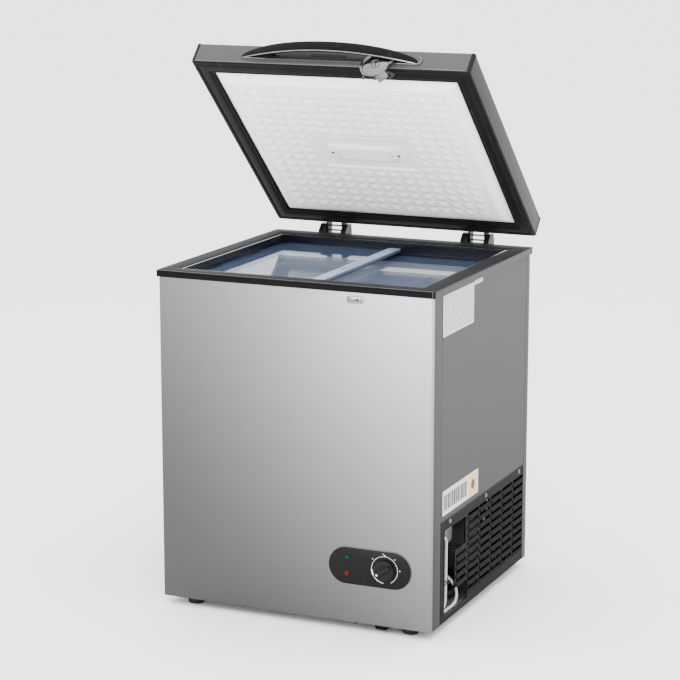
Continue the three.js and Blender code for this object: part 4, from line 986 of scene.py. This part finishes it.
def add_lid_panels():
    skin = Shape()
    rings = [lid_ring(4.0, 759.6), lid_ring(3.6, 759.1), lid_ring(0.9, 759.0), lid_ring(0.2, 759.5),
             lid_ring(0.0, 760.6), lid_ring(0.0, 802.0)]
    for i in range(1, 7):
        turn = radians(15 * i)
        rings.append(lid_ring(6.5 * (1 - cos(turn)), 802.3 + 6.5 * sin(turn)))
    skin.loft(rings, caps=(False, True))
    make("lid_skin", skin, "lid", LID_PAINT, replaces=("lid_shell",), angle=50)

    trims = Shape()
    for sx in (-1, 1):
        for end, sy in ((LID_FRONT, 1), (LID_REAR, -1)):
            cx, cy = sx * (LID_X - 5.0), end + sy * 5.0
            turn = [radians(90 * i / 6) for i in range(7)]
            outer = [(sx * (LID_X + 0.6), end + sy * 8.0)]
            outer += [(cx + sx * 5.6 * cos(t), cy - sy * 5.6 * sin(t)) for t in turn]
            outer += [(sx * (LID_X - 8.0), end - sy * 0.6)]
            inner = [(sx * (LID_X - 8.0), end + sy * 0.4)]
            inner += [(cx + sx * 4.6 * cos(t), cy - sy * 4.6 * sin(t)) for t in reversed(turn)]
            inner += [(sx * (LID_X - 0.4), end + sy * 8.0)]
            trims.prism(outer + inner, "Z", 759.4, 806.0)
    make("lid_corner_trims", trims, "lid", BLACK, bevel=0.25)
    lip = Shape()
    lip.rod((-LID_X + 12, LID_FRONT - 0.1, 760.2), (LID_X - 12, LID_FRONT - 0.1, 760.2), 0.9, 8)
    make("lid_front_bright_lip", lip, "lid", SATIN_CHROME)

    gasket = Shape()
    section = [(1.6, 767), (1.6, 757.6), (2.4, 756.2), (4.0, 755.8), (7.6, 755.7), (9.4, 756.2),
               (10.6, 758.0), (12.0, 758.0), (13.2, 756.4), (15.4, 755.8), (22.0, 755.7), (29.0, 755.9),
               (31.6, 756.6), (33.2, 758.2), (34.6, 758.2), (36.0, 757.0), (38.4, 757.2), (40.0, 758.8),
               (40.9, 762), (40.9, 767)]
    gasket.loft([lid_ring(inset, z, 6.0, steps=4) for inset, z in section], loop=True)
    ridge = Shape()
    for inset in (8.6, 33.0):
        ring = lid_ring(inset, 755.9 if inset < 20 else 756.9, 5.0, steps=4)
        ridge.tube(ring, 0.55, 6, loop=True)
    make("lid_seal_ridges", ridge, "lid", FOOT)
    make("lid_seal", gasket, "lid", RUBBER, replaces=("lid_gasket",), angle=60)


FIELD_X, FIELD_FRONT, FIELD_REAR = 244.8, -224.0, 218.0
COLUMNS, ROWS = 16, 17
FIELD_Z = 747.4
EMBOSS = 4.2


def add_lid_liner():
    def ring(inset, z, corner, rear_more):
        half, front, rear = 284.6 - inset, -262.6 + inset, 258.6 - inset - rear_more
        return level_ring(-half, half, front, rear, corner, z, 6)
    foam = Shape()
    foam.loft([lid_ring(2.2, z, 4.0) for z in (767.4, 806.4)])
    plug = [ring(30, 751.6, 16, 14), ring(24, 753.0, 17, 11), ring(14, 761.0, 15, 4), ring(10, 767.2, 14, 0)]
    foam.loft(plug)
    make("lid_foam_block", foam, "lid", FOAM, replaces=("lid_foam",))
    border = Shape()
    rings = [ring(0.3, 766, 5, 0), ring(0.3, 763.4, 5, 0), ring(1.6, 762.4, 5, 0), ring(5, 761.0, 7, 0.4),
             ring(9.0, 758.2, 9, 2.4), ring(13.0, 754.2, 12, 5.2), ring(16.6, 750.4, 14, 8.2),
             ring(20.0, 747.8, 16, 10.8), ring(23.0, 746.9, 18, 13.0), ring(27.0, 746.8, 18, 14.0),
             ring(29.0, 747.9, 14, 14.0), ring(31.0, 747.9, 12, 14.0), ring(33.0, 747.0, 12, 14.0)]
    inner = level_ring(-FIELD_X, FIELD_X, FIELD_FRONT, FIELD_REAR, 0.6, FIELD_Z, 6)
    border.loft(rings + [inner], caps=(False, False))

    cell_x, cell_y = 2 * FIELD_X / COLUMNS, (FIELD_REAR - FIELD_FRONT) / ROWS
    field = Shape()
    for column in range(COLUMNS):
        for row in range(ROWS):
            if 4 <= column < 12 and 6 <= row < 11:
                continue
            x0, y0 = -FIELD_X + column * cell_x, FIELD_FRONT + row * cell_y
            verts = []
            for share, drop in ((0.0, 0.0), (0.06, 0.1), (0.44, 0.94)):
                z = FIELD_Z - EMBOSS * drop
                for u, v in ((share, share), (1 - share, share), (1 - share, 1 - share), (share, 1 - share)):
                    verts.append((x0 + cell_x * u, y0 + cell_y * v, z))
            faces = [(4 * k + i, 4 * k + (i + 1) % 4, 4 * k + 4 + (i + 1) % 4, 4 * k + 4 + i)
                     for k in range(2) for i in range(4)]
            faces.append((8, 9, 10, 11))
            field.add(verts, faces)
    make("lid_embossed_field", field, "lid", LINER, angle=8)
    rx = 4 * cell_x
    ry0, ry1 = FIELD_FRONT + 6 * cell_y, FIELD_FRONT + 11 * cell_y

    def recess(inset, z, corner):
        return level_ring(-rx + inset, rx - inset, ry0 + inset, ry1 - inset, corner, z, 6)
    border.loft([recess(0, FIELD_Z, 0.6), recess(3, 746.6, 4), recess(8, 746.4, 6), recess(10.5, 746.9, 6),
                 recess(13, 749.0, 7), recess(15, 750.2, 7), recess(18, 750.4, 7)], caps=(False, True))
    make("lid_formed_liner", border, "lid", LINER, replaces=("lid_liner",), angle=24)


def add_lid_lamp():
    lamp = Shape()
    pillow(lamp, drawn_in(-88, 88, -29, 23, 8, 6), "Z", 750.3, 746.9, 1.2)
    make("lamp_base", lamp, "lid", WHITE, replaces=("lid_lamp_cover",))
    cover = Shape()
    dome = ((747.4, 0, 7), (745.6, 0.4, 7), (744.0, 1.6, 6.5), (743.2, 3.6, 5.5), (743.0, 6.5, 4))
    cover.loft([level_ring(-70 + inset, 70 - inset, -26 + inset, 20 - inset, corner, z, 6)
                for z, inset, corner in dome])
    for k in range(9):
        y = -18 + k * 3.8
        cover.tube([(-60, y, 743.1), (0, y, 743.0), (60, y, 743.1)], 0.55, 5)
    make("lamp_cover_lens", cover, "lid", LENS)
    strip = Shape()
    strip.box(-58, 58, -7, 1, 745.4, 747.6)
    for k in range(8):
        pillow(strip, drawn_in(-52 + k * 14, -47 + k * 14, -5.4, -0.6, 1.2, 3), "Z", 745.6, 744.6, 0.4)
    make("lamp_light_strip", strip, "lid", PAPER, bevel=0.3)
    screws = Shape()
    for sx in (-1, 1):
        screws.screw((sx * 80, -3, 746.9), "Z", -1, 3.4)
    make("lamp_screws", screws, "lid", SATIN_CHROME)


# ---- handle and lock ----

BOW_RADIUS, BOW_RISE, BOW_BASE = 577.4, 38.0, -307.6


def bow_rise(x):
    return sqrt(BOW_RADIUS ** 2 - x * x) - (BOW_RADIUS - BOW_RISE)


def add_handle():
    face = LID_FRONT - 0.3
    base = Shape()
    pillow(base, drawn_in(-213, 213, RIM + 14, RIM + 40, 12.5, 8), "Y", face, face - 3.0, 1.2)
    make("handle_back_plate", base, "lid", LID_PAINT, replaces=("handle_base",))
    blocks = Shape()
    for hand in (-1, 1):
        outer = [(hand * (129 + 4.6 * i), BOW_BASE - bow_rise(129 + 4.6 * i) + 3.5) for i in range(13)]
        blocks.prism([(hand * 129, face - 2)] + outer + [(hand * 184.2, face - 2)], "Z", RIM + 16, RIM + 31)
    make("handle_mounts", blocks, "lid", GRIP, bevel=1.2)
    inset = Shape()
    pillow(inset, drawn_in(-128, 128, RIM + 16, RIM + 38, 4, 4, fixed=True), "Y", face - 2.6, face - 3.4, 0.3)
    make("handle_recess_panel", inset, "lid", HINGE)
    slot = Shape()
    slot.prism(rounded(-46, 40, RIM + 24, RIM + 31, 3, 4), "Y", face - 3.0, face - 3.9)
    make("handle_recess_slot", slot, "lid", BLACK, bevel=0.3)

    half_span, steps = 207.0, 84
    full = 12.8

    def section(x):
        tall = max(1.2, full * sqrt(max(0.0, 1 - (abs(x) / half_span) ** 5)))
        return tall, RIM + 27 - 0.72 * (full - tall)
    bow = Shape()
    rings = []
    for k in range(steps + 1):
        x = half_span * sin(pi * (k / steps - 0.5))
        rise = bow_rise(min(abs(x), 206.0))
        slope = atan2(x, sqrt(BOW_RADIUS ** 2 - x * x))
        depth = max(1.3, min(rise * 0.92, 11.5 - abs(x) / 200) * 0.5)
        tall, middle = section(x)
        cy = BOW_BASE - rise + depth
        ring = []
        for i in range(20):
            a = 2 * pi * i / 20
            c, s = cos(a), sin(a)
            across = depth * copysign(abs(c) ** 0.72, c)
            up = tall * copysign(abs(s) ** 0.60, s)
            ring.append((x + across * sin(slope), cy + across * cos(slope), middle + up))
        rings.append(ring)
    bow.loft(rings)
    make("handle_bow", bow, "lid", GRIP, replaces=("handle_grip",), angle=50)
    line = Shape()
    path = []
    for k in range(61):
        x = 205.0 * sin(pi * (k / 60 - 0.5))
        tall, middle = section(x)
        path.append((x, BOW_BASE - bow_rise(x) + 2.6, middle - tall + 0.4))
    line.tube(path, 1.45, 8)
    ends = [(px, face - 3.2, pz) for px, pz in arc(203.0, RIM + 24.5, 9.6, -90, 60, 14)]
    line.tube([(160, face - 3.2, RIM + 14.9)] + ends, 1.3, 8)
    strip = ((-150, 14.9), (-180, 14.9), (-203, 15.2))
    line.tube([(x, face - 3.2, RIM + up) for x, up in strip], 0.9, 8)
    glint = ((-127.4, 3.4, 15.6), (-127.6, 4.4, 19), (-126.8, 4.8, 23.5))
    line.tube([(x, face - out, RIM + up) for x, out, up in glint], 1.5, 8)
    make("handle_chrome_line", line, "lid", CHROME)


def add_lock():
    x, z = 118.0, 757.0
    front, back = LID_FRONT - 14, LID_FRONT - 10
    plate = Shape()

    def outline(e):
        points = arc(x - 4, z + 2, 33 - e, 176, 364, 28)
        points += [(x + 37 - e, z + 12.5 - e), (x + 9.5 - e, z + 12.5 - e), (x + 9.5 - e, z + 29 - e)]
        points += [(x - 19 + e * 0.6, z + 29 - e), (x - 31 + e * 0.8, z + 12.5 - e * 0.4)]
        return points
    pillow(plate, outline, "Y", back, front, 1.4)
    dome = ((8.6, 0.5), (29.0, 0.5), (29.0, 0.1), (27.6, -0.7), (23, -1.7), (17, -2.3), (8.6, -2.5))
    plate.lathe([(r, front + out) for r, out in dome], (x - 1.0, 0, z - 0.5), "Y", 48, loop=True)
    make("lock_plate", plate, "lid", CHROME, replaces=("lock_body",), angle=32)
    turn = radians(40)

    def tilted(e):
        corners = rounded(-9 + e, 9 - e, -12 + e, 12 - e, 1.4, 3)
        return [(x + 22 + px * cos(turn) + pz * sin(turn),
                 z - 30 - px * sin(turn) + pz * cos(turn)) for px, pz in corners]
    cover = Shape()
    pillow(cover, tilted, "Y", back + 1, front - 1.4, 1.2)
    cover.box(x - 26, x + 18, back - 0.2, LID_FRONT - 0.3, RIM + 5, RIM + 13.5)
    make("lock_latch_cover", cover, "lid", SATIN_CHROME, bevel=0.5)
    ring = Shape()
    bezel = ((7.4, 1.5), (11.0, 2.2), (10.8, 3.2), (9.8, 3.7), (8.2, 3.7), (7.5, 3.2))
    ring.lathe([(r, front - out) for r, out in bezel], (x, 0, z), "Y", 40, loop=True)
    ring.screw((x + 31, front - 0.1, z + 7.5), "Y", -1, 3.6)
    make("lock_keyhole_ring", ring, "lid", SATIN_CHROME)
    shade = Shape()
    shade.tube([(px, front - 2.2, pz) for px, pz in arc(x - 1, z + 1.0, 20.5, 168, 62, 16)], 1.3, 8)
    shade.tube([(px, front - 2.4, pz) for px, pz in arc(x, z, 13.0, 0, 350, 28)], 0.45, 6)
    shade.tube([(px, front - 0.5, pz) for px, pz in arc(x - 1, z - 0.5, 29.6, 170, 370, 32)], 0.5, 6)
    for px, pz in ((x - 20, z - 33), (x + 7, z - 34)):
        shade.prism(rounded(px - 2.4, px + 2.4, pz - 4.5, pz + 5.5, 1.4, 3), "Y", back - 2.0, back + 0.9)
    make("lock_shadow_gaps", shade, "lid", INK_AND_PAINTED_SHADE)
    dress(CHROME, "lock_cylinder", bevel=0.4)
    dress(HINGE, "lock_hook", bevel=0.4)
    # Painted shade: a dark slot stands for the shade inside the keyhole.
    slit = Shape()
    slit.prism(rounded(x - 1.5, x + 1.5, z - 4.8, z + 3.4, 1.2, 3), "Y", front - 1.4, front - 3.0)
    make("lock_key_slot", slit, "lock_barrel", INK_AND_PAINTED_SHADE)


add_camera()
add_cord()
add_studio()
add_casing()
add_collar()
add_tub()
add_covers()
add_basket()
add_controls()
add_dial()
add_strike()
add_grille()
add_bay()
add_hinges()
add_labels()
add_lid_panels()
add_lid_liner()
add_lid_lamp()
add_handle()
add_lock()
